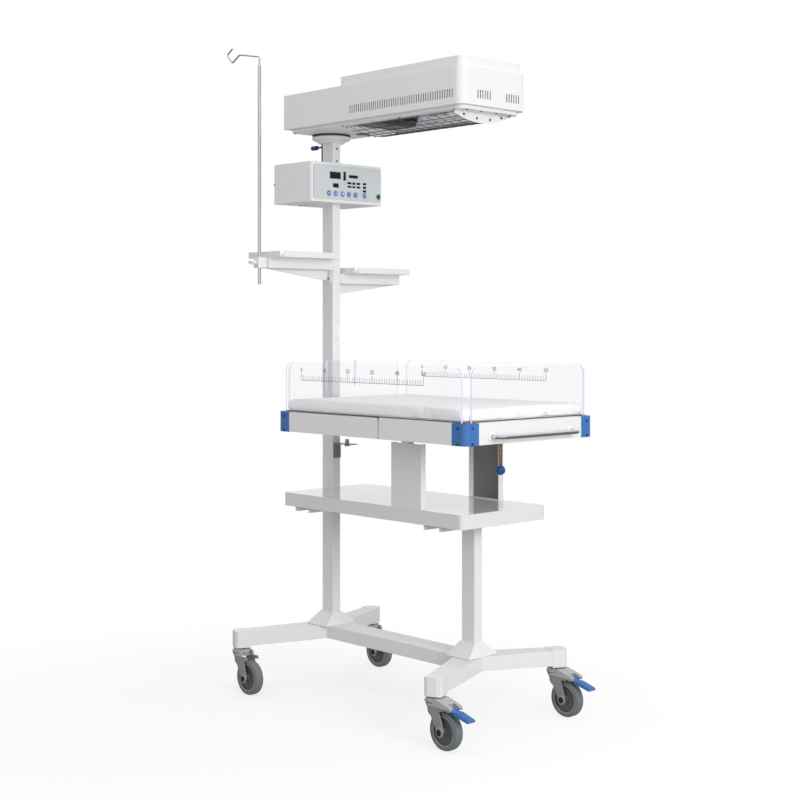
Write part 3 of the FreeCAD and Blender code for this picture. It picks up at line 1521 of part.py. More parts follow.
def make_collar():
    low = d.rear_column_top
    neck_top = low + d.ring_neck_height
    bore = d.spindle_radius + d.spindle_fit
    ring = Piece("swivel_ring")
    ring.turn("xz", 0, [
        (bore, low), (d.ring_neck_radius, low), (d.ring_neck_radius, neck_top),
        (d.ring_radius - d.ring_edge, neck_top + d.ring_slope_height),
        (d.ring_radius, neck_top + d.ring_slope_height + d.ring_edge),
        (d.ring_radius, ring_top - d.ring_edge), (d.ring_radius - d.ring_edge, ring_top),
        (bore, ring_top)], "V_Axis")
    node("swivel_ring", place(ring.body, -d.column_offset))
    flange = Piece("swivel_flange")
    flange.turn("xz", 0, [
        (0, low), (d.spindle_radius, low), (d.spindle_radius, ring_top + d.swivel_gap),
        (d.flange_radius, ring_top + d.swivel_gap), (d.flange_radius, pan_bottom), (0, pan_bottom)], "V_Axis")
    node("swivel_flange", place(flange.body, -d.column_offset))
    height = low - d.lock_knob_drop
    knob = Piece("swivel_lock_knob")
    shaft_end = -column_back + d.column_wall
    knob.turn("xz", 0, [
        (-d.lock_knob_outer, 0), (-d.lock_knob_outer, d.lock_knob_radius - d.lock_knob_bevel),
        (-d.lock_knob_outer + d.lock_knob_bevel, d.lock_knob_radius),
        (-d.lock_knob_inner, d.lock_knob_radius), (-d.lock_knob_inner, d.lock_shaft_radius),
        (shaft_end, d.lock_shaft_radius), (shaft_end, 0)], "H_Axis")
    node("swivel_lock_knob", place(knob.body, z=height))
    cable = rod("z", box_top, low, (-d.cable_x, -d.cable_side), d.cable_radius)
    node("hood_cable", cable)


# Hood

def make_hood():
    shell = Piece("hood_shell")
    wall = d.hood_wall
    head, foot, half = -d.hood_head_end, d.hood_foot_end, d.hood_half_width

    def outline(inset):
        curve = d.hood_corner - inset
        return [(head + inset, inset - half), (foot - inset, inset - half, curve),
                (foot - inset, half - inset, curve), (head + inset, half - inset)]

    shell.pad("xy", hood_bottom, hood_top, outline(as_size(0)))
    shell.pocket("xy", hood_bottom + wall, hood_top - wall, outline(wall))
    shell.pocket("xy", hood_bottom, hood_bottom + wall, outline(d.hood_lip + wall))
    low = hood_bottom + d.vent_rise
    high = low + d.vent_height
    vents = shell.pocket("xz", -half, half, rectangle(
        -d.vent_first_x, d.vent_width - d.vent_first_x, low, high))
    shell.repeat(vents, "H_Axis", d.vent_first_x + d.vent_last_x - d.vent_width, d.vent_count)
    for start in (-d.end_vent_near, d.end_vent_far):
        slots = [rectangle(start + d.end_vent_pitch * i, start + d.end_vent_pitch * i + d.vent_width, low, high)
                 for i in range(int(d.end_vent_count.value))]
        shell.pocket("yz", foot - wall, foot, *slots)
    node("hood_shell", shell.body)

    lid = Piece("hood_lid")
    lid_top = hood_top + d.lid_height
    half_lid = d.lid_half_width
    lid.pad("xy", hood_top, lid_top, [
        (-d.lid_head_end, -half_lid), (d.lid_foot_end, -half_lid, d.lid_corner),
        (d.lid_foot_end, half_lid, d.lid_corner), (-d.lid_head_end, half_lid)])
    lid.pocket("xy", hood_top, lid_top - wall, [
        (wall - d.lid_head_end, wall - half_lid), (d.lid_foot_end - wall, wall - half_lid, d.lid_corner - wall),
        (d.lid_foot_end - wall, half_lid - wall, d.lid_corner - wall), (wall - d.lid_head_end, half_lid - wall)])
    node("hood_lid", lid.body)


def opening():
    half = d.opening_half_width
    return (-d.opening_head_end, d.opening_foot_end, -half, half)


def make_pan():
    """The pan that closes the hood from below and holds the heater's opening."""
    pan = Piece("hood_pan")
    sheet_t = d.pan_sheet
    rim_low = hood_bottom + d.hood_wall
    head, foot, half = d.pan_head_end, d.pan_foot_end, d.pan_half_width
    rim = d.pan_rim
    pan.pad("xy", pan_bottom, rim_low, rectangle(-head, foot, -half, half, d.pan_corner))
    pan.pad("xy", rim_low, rim_low + sheet_t, rectangle(
        -head - rim, foot + rim, -half - rim, half + rim, d.pan_corner))
    pan.pocket("xy", pan_floor, rim_low + sheet_t, rectangle(
        sheet_t - head, foot - sheet_t, sheet_t - half, half - sheet_t, d.pan_corner - sheet_t))
    pan.pocket("xy", pan_bottom, pan_floor, rectangle(*opening()),
               circle(-d.pan_hole_x, d.pan_hole_side, d.pan_hole_radius))
    node("hood_pan", pan.body)


def make_heater():
    x0, x1, y0, y1 = opening()
    sheet_t = d.reflector_sheet
    top = pan_floor + d.reflector_height
    narrow = d.reflector_top_half_width
    reflector = Piece("reflector")
    reflector.pad("yz", x0 - sheet_t, x1 + sheet_t, [
        (y0 - sheet_t, pan_floor), (-narrow - sheet_t, top), (narrow + sheet_t, top), (y1 + sheet_t, pan_floor)])
    reflector.pocket("yz", x0, x1, [
        (y0, pan_floor), (-narrow, top - sheet_t), (narrow, top - sheet_t), (y1, pan_floor)])
    node("reflector", reflector.body)

    height = pan_floor + d.heater_rise
    cap = d.heater_cap_length
    heater = Piece("heater_tube")
    heater.turn("xz", 0, [
        (x0, 0), (x0, d.heater_cap_radius), (x0 + cap, d.heater_cap_radius), (x0 + cap, d.heater_radius),
        (x1 - cap, d.heater_radius), (x1 - cap, d.heater_cap_radius), (x1, d.heater_cap_radius), (x1, 0)],
        "H_Axis")
    node("heater_tube", place(heater.body, y=-d.heater_side, z=height))

    lamp = Piece("exam_lamp")
    low = pan_floor + d.lamp_rise
    high = low + d.lamp_height
    lamp.pad("xy", low, high, rectangle(
        d.lamp_x, d.lamp_x + d.lamp_length, -d.lamp_side, d.lamp_width - d.lamp_side, 5))
    centre = (d.lamp_x + d.lamp_length / 2, d.lamp_width / 2 - d.lamp_side)
    lamp.pad("xy", low - 2, low, circle(*centre, d.lamp_lens_radius))
    lamp.pad("xy", high, top - sheet_t, circle(centre[0], d.lamp_width / 4, d.lamp_lens_radius / 2))
    node("exam_lamp", lamp.body)


def make_wire_guard():
    """Straight wires welded on cross wires, hung from the pan by four short studs."""
    radius = d.guard_wire_radius
    height = pan_bottom - d.guard_wire_drop
    cross_height = height - radius * 2
    x0, x1 = -d.opening_head_end - d.guard_end_reach, d.opening_foot_end + d.guard_end_reach
    outer = d.guard_wire_pitch * (d.guard_wire_count - 1) / 2
    end = outer + d.guard_cross_overhang
    wires = []
    for i in range(int(d.guard_wire_count.value)):
        y = d.guard_wire_pitch * i - outer
        wires.append(rod("x", x0 - radius, x1 + radius, (y, height), radius, "long_wire"))
    step = (x1 - x0) / (d.guard_cross_count + 1)
    for i in range(int(d.guard_cross_count.value) + 2):
        wires.append(rod("y", -end, end, (x0 + step * i, cross_height), radius, "cross_wire"))
    for x in (x0, x1):
        for side in (NEAR, FAR):
            wires.append(rod("z", cross_height + radius, pan_bottom,
                             (x, d.guard_hanger_side * side), radius, "hanger"))
    node("wire_guard", group(wires, "wire_guard"))


make_base()
make_base_covers()
make_columns()
make_column_bolts()
make_casters()
make_shelf()
make_uprights()
make_bed_stop()
make_corner_blocks()
make_rails()
make_board_and_mattress()
make_subframe()
make_handle()
make_drawer()
make_lever()
make_release_rod()
make_gas_spring()
make_guards()
make_trays()
make_pole_clamp()
make_pole()
make_control_box()
make_control_panel()
make_keys()
make_power_switch()
make_collar()
make_hood()
make_pan()
make_heater()
make_wire_guard()
doc.recompute()


# Check every object before anything is written

def check_document():
    problems = []
    for item in doc.Objects:
        if "Invalid" in item.State or "Error" in item.State:
            problems.append(f"{item.Name}: {item.State}")
        if item.TypeId == "PartDesign::Pocket":
            if item.Shape.Volume >= item.BaseFeature.Shape.Volume - 1e-6:
                problems.append(f"{item.Name} cuts nothing")
    for name, item in nodes.items():
        if item.Shape.isNull() or not item.Shape.isValid() or not item.Shape.Solids:
            problems.append(f"{name} has no valid solid")
    if problems:
        raise RuntimeError("\n".join(problems))


check_document()
for name, item in nodes.items():
    item.Shape.exportStep(f"parts/{name}.step")
print(f"{len(nodes)} sub-parts written")
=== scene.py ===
import json
import math

import bmesh
import bpy
from mathutils import Matrix, Vector
from mathutils.bvhtree import BVHTree


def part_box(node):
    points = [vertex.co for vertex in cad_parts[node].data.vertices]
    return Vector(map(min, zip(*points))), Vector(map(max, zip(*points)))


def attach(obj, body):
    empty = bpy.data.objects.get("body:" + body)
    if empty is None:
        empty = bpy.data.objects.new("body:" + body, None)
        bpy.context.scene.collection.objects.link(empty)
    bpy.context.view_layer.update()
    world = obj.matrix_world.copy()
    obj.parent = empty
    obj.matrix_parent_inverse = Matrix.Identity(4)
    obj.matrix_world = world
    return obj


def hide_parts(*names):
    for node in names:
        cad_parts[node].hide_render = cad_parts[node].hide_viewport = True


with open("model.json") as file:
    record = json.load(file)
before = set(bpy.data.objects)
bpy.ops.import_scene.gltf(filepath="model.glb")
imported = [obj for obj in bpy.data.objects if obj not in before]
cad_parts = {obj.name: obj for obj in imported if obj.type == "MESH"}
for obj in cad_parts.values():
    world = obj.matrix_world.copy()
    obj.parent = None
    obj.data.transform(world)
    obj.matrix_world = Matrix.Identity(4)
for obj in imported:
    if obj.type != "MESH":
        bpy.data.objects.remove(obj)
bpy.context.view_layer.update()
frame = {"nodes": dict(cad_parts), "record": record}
nodes = frame["nodes"]
scene = bpy.context.scene
ahead, down, up = (1, 0, 0), (0, 0, -1), (0, 0, 1)
print("frame loaded:", len(nodes), "nodes")


# Node tree helpers: an input takes a value or the output of another node

def newGroup(name, kind, inputs, outputs):
    tree = bpy.data.node_groups.new(name, kind)
    kinds = {float: "Float", int: "Int", tuple: "Vector"}
    for label, value in inputs.items():
        plain = value if isinstance(value, str) else kinds[type(value)]
        socket = tree.interface.new_socket(label, in_out="INPUT", socket_type="NodeSocket" + plain)
        if not isinstance(value, str):
            socket.default_value = value
    for label, plain in outputs.items():
        tree.interface.new_socket(label, in_out="OUTPUT", socket_type="NodeSocket" + plain)
    return tree, tree.nodes.new("NodeGroupInput").outputs, tree.nodes.new("NodeGroupOutput").inputs


def addNode(tree, kind, inputs=None, **settings):
    node = tree.nodes.new(kind)
    for key, value in settings.items():
        setattr(node, key, value)
    for key, value in (inputs or {}).items():
        if isinstance(value, bpy.types.NodeSocket):
            tree.links.new(value, node.inputs[key])
        else:
            node.inputs[key].default_value = value
    return node.outputs


def addMath(tree, operation, *terms):
    return addNode(tree, "ShaderNodeMath", dict(enumerate(terms)), operation=operation)[0]


def addVectorMath(tree, operation, *terms):
    result = "Value" if operation in ("DOT_PRODUCT", "LENGTH") else "Vector"
    return addNode(tree, "ShaderNodeVectorMath", dict(enumerate(terms)), operation=operation)[result]


def mapRange(tree, value, ends, results=(0.0, 1.0), smooth=False):
    inputs = {"Value": value, "From Min": ends[0], "From Max": ends[1]}
    inputs.update({"To Min": results[0], "To Max": results[1]})
    kind = "SMOOTHSTEP" if smooth else "LINEAR"
    return addNode(tree, "ShaderNodeMapRange", inputs, interpolation_type=kind)["Result"]


def addNoise(tree, place, scale, detail, roughness=0.5):
    inputs = {"Vector": place, "Scale": scale, "Detail": detail, "Roughness": roughness}
    return addNode(tree, "ShaderNodeTexNoise", inputs)["Fac"]


def addBump(tree, height, strength, distance, **more):
    inputs = {"Height": height, "Strength": strength, "Distance": distance, **more}
    return addNode(tree, "ShaderNodeBump", inputs)["Normal"]


def objectSpace(tree):
    return addNode(tree, "ShaderNodeTexCoord")["Object"]


# Shader groups: each puts out masks, values, colours or normals only

def makeCoatGroup():
    inputs = {"Grain Scale": 900.0, "Grain Strength": 0.1, "Edge Radius": 0.0008}
    tree, entry, leave = newGroup("coatSurface", "ShaderNodeTree", inputs,
                                  {"Normal": "Vector", "Tone": "Float"})
    place = objectSpace(tree)
    grain = addNoise(tree, place, entry["Grain Scale"], 3.0, 0.6)
    rounded = addNode(tree, "ShaderNodeBevel", {"Radius": entry["Edge Radius"]}, samples=4)["Normal"]
    tree.links.new(addBump(tree, grain, entry["Grain Strength"], 0.0004, Normal=rounded), leave["Normal"])
    cloud = addNoise(tree, place, 4.0, 2.0)
    tree.links.new(mapRange(tree, cloud, (0.3, 0.7), (0.985, 1.0)), leave["Tone"])
    return tree


def makeDrawnMetalGroup():
    inputs = {"Along": (4.0, 900.0, 900.0), "Low": 0.1, "High": 0.3}
    tree, entry, leave = newGroup("drawnMetal", "ShaderNodeTree", inputs,
                                  {"Roughness": "Float", "Normal": "Vector"})
    lines = addNoise(tree, addVectorMath(tree, "MULTIPLY", objectSpace(tree), entry["Along"]), 1.0, 4.0)
    rough = mapRange(tree, lines, (0.35, 0.65), (entry["Low"], entry["High"]))
    tree.links.new(rough, leave["Roughness"])
    tree.links.new(addBump(tree, lines, 0.15, 0.0001), leave["Normal"])
    return tree


def makePassivateGroup():
    tree, entry, leave = newGroup("passivatedZinc", "ShaderNodeTree", {"Scale": 60.0}, {"Color": "Color"})
    ramp = tree.nodes.new("ShaderNodeValToRGB")
    tree.links.new(addNoise(tree, objectSpace(tree), entry["Scale"], 2.0), ramp.inputs["Fac"])
    stops = ramp.color_ramp.elements
    stops[0].position = 0.36
    stops[0].color = (0.34, 0.30, 0.10, 1)
    stops[1].position = 0.64
    stops[1].color = (0.50, 0.44, 0.24, 1)
    for position, color in ((0.46, (0.48, 0.25, 0.13, 1)), (0.55, (0.22, 0.33, 0.12, 1))):
        stops.new(position).color = color
    tree.links.new(ramp.outputs["Color"], leave["Color"])
    return tree


def makeWheelGroup():
    inputs = {"Centre": (0.0, 0.0, 0.0), "Hub Radius": 0.0345, "Rim Radius": 0.0392, "Groove Width": 0.0006}
    tree, entry, leave = newGroup("wheelZones", "ShaderNodeTree", inputs,
                                  {"Hub": "Float", "Rim": "Float", "Groove": "Float"})
    offset = addVectorMath(tree, "SUBTRACT", objectSpace(tree), entry["Centre"])
    radius = addVectorMath(tree, "LENGTH", addVectorMath(tree, "MULTIPLY", offset, (1.0, 0.0, 1.0)))
    hub = addMath(tree, "LESS_THAN", radius, entry["Hub Radius"])
    inner = addMath(tree, "LESS_THAN", radius, entry["Rim Radius"])
    away = addMath(tree, "ABSOLUTE", addMath(tree, "SUBTRACT", radius, entry["Hub Radius"]))
    tree.links.new(hub, leave["Hub"])
    tree.links.new(addMath(tree, "SUBTRACT", inner, hub), leave["Rim"])
    # painted shade: the groove mask marks a thin ring at the hub's edge to be drawn near black
    tree.links.new(addMath(tree, "LESS_THAN", away, entry["Groove Width"]), leave["Groove"])
    return tree


def makeClothGroup():
    tree, entry, leave = newGroup("coatedCloth", "ShaderNodeTree", {"Thread Scale": 700.0, "Strength": 0.12},
                                  {"Normal": "Vector", "Shade": "Float"})
    place = objectSpace(tree)
    weave = []
    for direction in ("X", "Y"):
        inputs = {"Vector": place, "Scale": entry["Thread Scale"], "Distortion": 0.6}
        weave.append(addNode(tree, "ShaderNodeTexWave", inputs, bands_direction=direction)["Fac"])
    crumple = addNoise(tree, place, 22.0, 4.0)
    height = addMath(tree, "ADD", addMath(tree, "MULTIPLY", *weave), addMath(tree, "MULTIPLY", crumple, 6.0))
    tree.links.new(addBump(tree, height, entry["Strength"], 0.0003), leave["Normal"])
    tree.links.new(mapRange(tree, crumple, (0.3, 0.7), (0.97, 1.0)), leave["Shade"])
    return tree


def makeSheetEdgeGroup():
    inputs = {"Thickness Axis": (0.0, 1.0, 0.0)}
    tree, entry, leave = newGroup("sheetEdge", "ShaderNodeTree", inputs, {"Edge": "Float"})
    normal = addNode(tree, "ShaderNodeTexCoord")["Normal"]
    facing = addMath(tree, "ABSOLUTE", addVectorMath(tree, "DOT_PRODUCT", normal, entry["Thickness Axis"]))
    tree.links.new(addMath(tree, "LESS_THAN", facing, 0.5), leave["Edge"])
    return tree


def makeLevelGroup():
    tree, entry, leave = newGroup("aboveLevel", "ShaderNodeTree", {"Level": 0.0}, {"Above": "Float"})
    place = addNode(tree, "ShaderNodeSeparateXYZ", {"Vector": objectSpace(tree)})
    tree.links.new(addMath(tree, "GREATER_THAN", place["Z"], entry["Level"]), leave["Above"])
    return tree


coatGroup = makeCoatGroup()
drawnGroup = makeDrawnMetalGroup()
passivateGroup = makePassivateGroup()
wheelGroup = makeWheelGroup()
clothGroup = makeClothGroup()
sheetEdgeGroup = makeSheetEdgeGroup()
levelGroup = makeLevelGroup()


# Materials

casterGrey = (0.30, 0.29, 0.27)
tyreGrey = (0.175, 0.195, 0.205)


def newMaterial(name, color, roughness, metallic=0.0, **more):
    material = bpy.data.materials.new(name)
    material.use_nodes = True
    tree = material.node_tree
    look = tree.nodes["Principled BSDF"].inputs
    look["Base Color"].default_value = (*color, 1)
    look["Roughness"].default_value = roughness
    look["Metallic"].default_value = metallic
    for key, value in more.items():
        look[key.replace("_", " ")].default_value = value
    return material, tree, look


def plainMaterial(name, color, roughness, metallic=0.0, **more):
    return newMaterial(name, color, roughness, metallic, **more)[0]


def useGroup(tree, group, **inputs):
    labelled = {label.replace("_", " "): value for label, value in inputs.items()}
    return addNode(tree, "ShaderNodeGroup", labelled, node_tree=group)


def mixColors(tree, factor, first, second):
    ends = [(*color, 1) if isinstance(color, tuple) else color for color in (first, second)]
    return addNode(tree, "ShaderNodeMix", {"Factor": factor, 6: ends[0], 7: ends[1]}, data_type="RGBA")[2]


def addCoat(tree, look, grain, strength, edge):
    coat = useGroup(tree, coatGroup, Grain_Scale=grain, Grain_Strength=strength, Edge_Radius=edge)
    tree.links.new(coat["Normal"], look["Normal"])
    return coat["Tone"]


def coatedMaterial(name, color, roughness, grain, strength, edge=0.0008, **more):
    material, tree, look = newMaterial(name, color, roughness, **more)
    tone = addCoat(tree, look, grain, strength, edge)
    dark = tuple(channel * 0.9 for channel in color)
    tree.links.new(mixColors(tree, tone, dark, color), look["Base Color"])
    return material


def drawnMaterial(name, color, low, high, along):
    material, tree, look = newMaterial(name, color, low, 1.0)
    drawn = useGroup(tree, drawnGroup, Along=along, Low=low, High=high)
    tree.links.new(drawn["Roughness"], look["Roughness"])
    tree.links.new(drawn["Normal"], look["Normal"])
    return material


def zincMaterial(name, scale):
    material, tree, look = newMaterial(name, (0.6, 0.55, 0.3), 0.28, 1.0)
    tree.links.new(useGroup(tree, passivateGroup, Scale=scale)["Color"], look["Base Color"])
    return material


# Clear sheet whose edge faces get a dark base and a painted glow, pale blue emission standing for light
# caught in the edges
def acrylicMaterial(name, axis):
    sheet = {"face": (0.978, 0.98, 0.985), "edge": (0.12, 0.13, 0.2), "glow": (0.72, 0.76, 0.88, 1),
             "paintedEdgeGlow": 0.8}
    material, tree, look = newMaterial(name, sheet["face"], 0.02, IOR=1.3, Emission_Color=sheet["glow"])
    edge = useGroup(tree, sheetEdgeGroup, Thickness_Axis=axis)["Edge"]
    tree.links.new(mixColors(tree, edge, sheet["face"], sheet["edge"]), look["Base Color"])
    tree.links.new(addMath(tree, "SUBTRACT", 1.0, edge), look["Transmission Weight"])
    # painted glow: emission on the edge faces only
    tree.links.new(addMath(tree, "MULTIPLY", edge, sheet["paintedEdgeGlow"]), look["Emission Strength"])
    return material


def boardMaterial(name):
    board = {"edge": (0.17, 0.085, 0.035), "face": (0.80, 0.79, 0.77)}
    material, tree, look = newMaterial(name, board["face"], 0.45)
    edge = useGroup(tree, sheetEdgeGroup, Thickness_Axis=(0.0, 0.0, 1.0))["Edge"]
    tree.links.new(mixColors(tree, edge, board["face"], board["edge"]), look["Base Color"])
    return material


def wheelMaterial(name, centre):
    # The groove colour is painted shade: a near-black ring where hub meets rim stands for the shadow in the
    # gap
    wheel = {"rim": (0.30, 0.29, 0.265), "hub": (0.115, 0.12, 0.12), "groove": (0.03, 0.03, 0.03)}
    material, tree, look = newMaterial(name, tyreGrey, 0.55)
    zones = useGroup(tree, wheelGroup, Centre=centre)
    color = tyreGrey
    for zone in wheel:
        color = mixColors(tree, zones[zone.capitalize()], color, wheel[zone])
    tree.links.new(color, look["Base Color"])
    addCoat(tree, look, 500.0, 0.12, 0.001)
    return material


def forkMaterial(name, level):
    headGrey = (0.47, 0.465, 0.45)
    material, tree, look = newMaterial(name, casterGrey, 0.42)
    above = useGroup(tree, levelGroup, Level=level)["Above"]
    tree.links.new(mixColors(tree, above, casterGrey, headGrey), look["Base Color"])
    addCoat(tree, look, 500.0, 0.1, 0.0012)
    return material


def leverMaterial(name, level):
    ball = (0.015, 0.085, 0.27)
    material, tree, look = newMaterial(name, ball, 0.3)
    above = useGroup(tree, levelGroup, Level=level)["Above"]
    zinc = useGroup(tree, passivateGroup, Scale=90.0)["Color"]
    tree.links.new(mixColors(tree, above, ball, zinc), look["Base Color"])
    tree.links.new(above, look["Metallic"])
    return material


def clothMaterial(name, color, threads, strength):
    material, tree, look = newMaterial(name, color, 0.5, Sheen_Weight=0.15)
    cloth = useGroup(tree, clothGroup, Thread_Scale=threads, Strength=strength)
    dark = tuple(channel * 0.9 for channel in color)
    tree.links.new(mixColors(tree, cloth["Shade"], dark, color), look["Base Color"])
    tree.links.new(cloth["Normal"], look["Normal"])
    return material


slots = {
    "white_paint": coatedMaterial("whitePaint", (0.83, 0.83, 0.845), 0.42, 1100.0, 0.05),
    "shelf_paint": coatedMaterial("shelfPaint", (0.80, 0.80, 0.805), 0.12, 300.0, 0.012, Coat_Weight=0.5),
    "cream_plastic": coatedMaterial("creamPlastic", (0.84, 0.83, 0.82), 0.36, 700.0, 0.04, 0.0012),
    "white_plastic": coatedMaterial("whitePlastic", (0.84, 0.84, 0.835), 0.38, 700.0, 0.04, 0.001),
    "panel_film": coatedMaterial("panelFilm", (0.63, 0.665, 0.675), 0.3, 1500.0, 0.03, 0.0004),
    "key_blue": coatedMaterial("keyBlue", (0.045, 0.165, 0.50), 0.32, 600.0, 0.03, 0.0005),
    "black_plastic": coatedMaterial("blackPlastic", (0.012, 0.012, 0.013), 0.45, 700.0, 0.08, 0.0005),
    "zinc_steel": zincMaterial("zincSteel", 70.0),
    "black_steel": coatedMaterial("blackSteel", (0.02, 0.02, 0.02), 0.35, 800.0, 0.05, 0.0004),
    "reflector_sheet": drawnMaterial("reflectorSheet", (0.80, 0.81, 0.83), 0.12, 0.3, (4.0, 600.0, 600.0)),
    "bright_wire": drawnMaterial("brightWire", (0.25, 0.20, 0.16), 0.22, 0.38, (30.0, 900.0, 900.0)),
    "blue_plastic": coatedMaterial("bluePlastic", (0.052, 0.175, 0.475), 0.34, 600.0, 0.05),
    "dark_blue_plastic": coatedMaterial("darkBluePlastic", (0.012, 0.06, 0.22), 0.3, 600.0, 0.04),
    "brown_laminate": coatedMaterial("brownLaminate", (0.19, 0.105, 0.055), 0.5, 250.0, 0.15, 0.0004),
    "mattress_cover": clothMaterial("mattressCover", (0.94, 0.94, 0.945), 700.0, 0.10),
    "chrome_bar": drawnMaterial("chromeBar", (0.66, 0.67, 0.69), 0.07, 0.16, (900.0, 900.0, 6.0)),
    "caster_grey": coatedMaterial("casterGrey", casterGrey, 0.42, 500.0, 0.1, 0.0012),
    "caster_tyre": coatedMaterial("casterTyre", tyreGrey, 0.55, 500.0, 0.12, 0.001),
    "clear_acrylic": acrylicMaterial("clearAcrylic", (0.0, 1.0, 0.0)),
    "quartz": plainMaterial("quartz", (0.86, 0.83, 0.78), 0.18, Transmission_Weight=0.5),
}
endAcrylic = acrylicMaterial("endAcrylic", (1.0, 0.0, 0.0))
ink = plainMaterial("rulerInk", (0.018, 0.02, 0.06), 0.4)
darkGlass = plainMaterial("darkGlass", (0.006, 0.006, 0.007), 0.1)
ghostRed = plainMaterial("unlitSegment", (0.035, 0.016, 0.016), 0.2)
paleBlue = plainMaterial("paleBlue", (0.30, 0.55, 0.78), 0.35)
iconWhite = plainMaterial("iconWhite", (0.82, 0.86, 0.9), 0.35)
ledGreen = plainMaterial("ledGreen", (0.30, 0.38, 0.33), 0.2)
endShade = plainMaterial("endShade", (0.16, 0.15, 0.15), 0.4, 0.6)
ringGreen = coatedMaterial("ringGreen", (0.02, 0.24, 0.17), 0.3, 600.0, 0.03, 0.0005)
# Brown felt colour that is also painted shade: it darkens the swivel gap and the flange's side below the pan
feltShade = coatedMaterial("brownFeltShade", (0.085, 0.05, 0.028), 0.9, 1500.0, 0.5, 0.0003)
# Painted shade for the uprights' inner faces under the bed
uprightShade = coatedMaterial("uprightShade", (0.25, 0.235, 0.225), 0.5, 500.0, 0.15)
steel = drawnMaterial("screwSteel", (0.30, 0.29, 0.285), 0.25, 0.45, (500.0, 500.0, 500.0))
stopSteel = drawnMaterial("stopSteel", (0.42, 0.41, 0.40), 0.25, 0.4, (400.0, 400.0, 400.0))
levels = {"leverThread": 0.7155, "forkHead": 0.1120}


def dress(node, material):
    mesh = nodes[node].data
    mesh.materials.clear()
    mesh.materials.append(material)
    for face in mesh.polygons:
        face.material_index = 0


for subpart in frame["record"]["subparts"]:
    dress(subpart["node"], slots[subpart["material_slot"]])
for endGuard in ("guard_foot", "guard_head"):
    dress(endGuard, endAcrylic)
dress("tilt_lever", leverMaterial("leverParts", levels["leverThread"]))
dress("bed_board", boardMaterial("boardLaminate"))
dress("bed_stop", stopSteel)
forkPlastic = forkMaterial("forkPlastic", levels["forkHead"])
for name in nodes:
    if name.startswith("caster_fork"):
        dress(name, forkPlastic)
    if name.startswith("caster_wheel"):
        low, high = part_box(name)
        dress(name, wheelMaterial(name + "Rubber", (low + high) / 2))
print("materials assigned")


# Mesh helpers

def finishMesh(name, bm, material, body, smooth=True, angle=35.0):
    bmesh.ops.recalc_face_normals(bm, faces=bm.faces)
    mesh = bpy.data.meshes.new(name)
    bm.to_mesh(mesh)
    bm.free()
    mesh.materials.append(material)
    item = bpy.data.objects.new(name, mesh)
    scene.collection.objects.link(item)
    if smooth:
        mesh.shade_smooth()
        mesh.set_sharp_from_angle(angle=math.radians(angle))
    if body:
        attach(item, body)
    return item


def bevelEdges(bm, edges, offset, segments):
    bmesh.ops.bevel(bm, geom=edges, offset=offset, segments=segments, affect="EDGES", profile=0.5)


def addBox(bm, low, high, bevel=0.0):
    low, high = Vector(low), Vector(high)
    matrix = Matrix.Translation((low + high) / 2) @ Matrix.Diagonal((*(high - low), 1))
    made = bmesh.ops.create_cube(bm, size=1.0, matrix=matrix)
    if bevel:
        edges = {edge for vert in made["verts"] for edge in vert.link_edges}
        bevelEdges(bm, list(edges), bevel, 2)


def aimed(spot, direction):
    turn = Vector(direction).to_track_quat("Z", "Y").to_matrix().to_4x4()
    return Matrix.Translation(Vector(spot)) @ turn


# A profile of (radius, height) pairs turned about the matrix's own z axis

def addLathe(bm, profile, matrix, steps=32):
    rings = []
    for radius, height in profile:
        ring = []
        for step in range(1 if radius < 1e-7 else steps):
            angle = 2 * math.pi * step / steps
            spot = Vector((radius * math.cos(angle), radius * math.sin(angle), height))
            ring.append(bm.verts.new(matrix @ spot))
        rings.append(ring)
    for first, second in zip(rings, rings[1:]):
        if len(first) == 1 and len(second) == 1:
            continue
        for step in range(steps):
            after = (step + 1) % steps
            if len(first) == 1:
                bm.faces.new((first[0], second[step], second[after]))
            elif len(second) == 1:
                bm.faces.new((first[step], first[after], second[0]))
            else:
                bm.faces.new((first[step], first[after], second[after], second[step]))


def makeLathe(name, profile, spot, direction, material, body, steps=32):
    bm = bmesh.new()
    addLathe(bm, profile, aimed(spot, direction), steps)
    return finishMesh(name, bm, material, body)


def addTube(bm, points, radius, sides=10, closed=False):
    points = [Vector(point) for point in points]
    count = len(points)
    rings = []
    reference = Vector((0, 0, 1))
    for index, point in enumerate(points):
        before = points[index - 1] if closed or index else point
        after = points[(index + 1) % count] if closed or index < count - 1 else point
        tangent = (after - before).normalized()
        if abs(tangent.dot(reference)) > 0.95:
            reference = Vector((0, 1, 0))
        sideways = tangent.cross(reference).normalized()
        upward = sideways.cross(tangent).normalized()
        ring = []
        for step in range(sides):
            angle = 2 * math.pi * step / sides
            offset = sideways * math.cos(angle) + upward * math.sin(angle)
            ring.append(bm.verts.new(point + offset * radius))
        rings.append(ring)
    pairs = list(zip(rings, rings[1:]))
    if closed:
        pairs.append((rings[-1], rings[0]))
    for first, second in pairs:
        for step in range(sides):
            after = (step + 1) % sides
            bm.faces.new((first[step], first[after], second[after], second[step]))
    if not closed:
        bm.faces.new(rings[0])
        bm.faces.new(reversed(rings[-1]))


# An outline in the (y, z) plane raised along x, or one in (x, z) raised along y

def addPlate(bm, outline, direction, start, end):
    def spot(pair, depth):
        return Vector((depth, pair[0], pair[1])) if direction == "x" else Vector((pair[0], depth, pair[1]))
    lower = [bm.verts.new(spot(pair, start)) for pair in outline]
    upper = [bm.verts.new(spot(pair, end)) for pair in outline]
    bm.faces.new(lower)
    bm.faces.new(list(reversed(upper)))
    count = len(outline)
    for index in range(count):
        after = (index + 1) % count
        bm.faces.new((lower[index], upper[index], upper[after], lower[after]))


def evaluatedMesh(item):
    graph = bpy.context.evaluated_depsgraph_get()
    return bpy.data.meshes.new_from_object(item.evaluated_get(graph), depsgraph=graph)


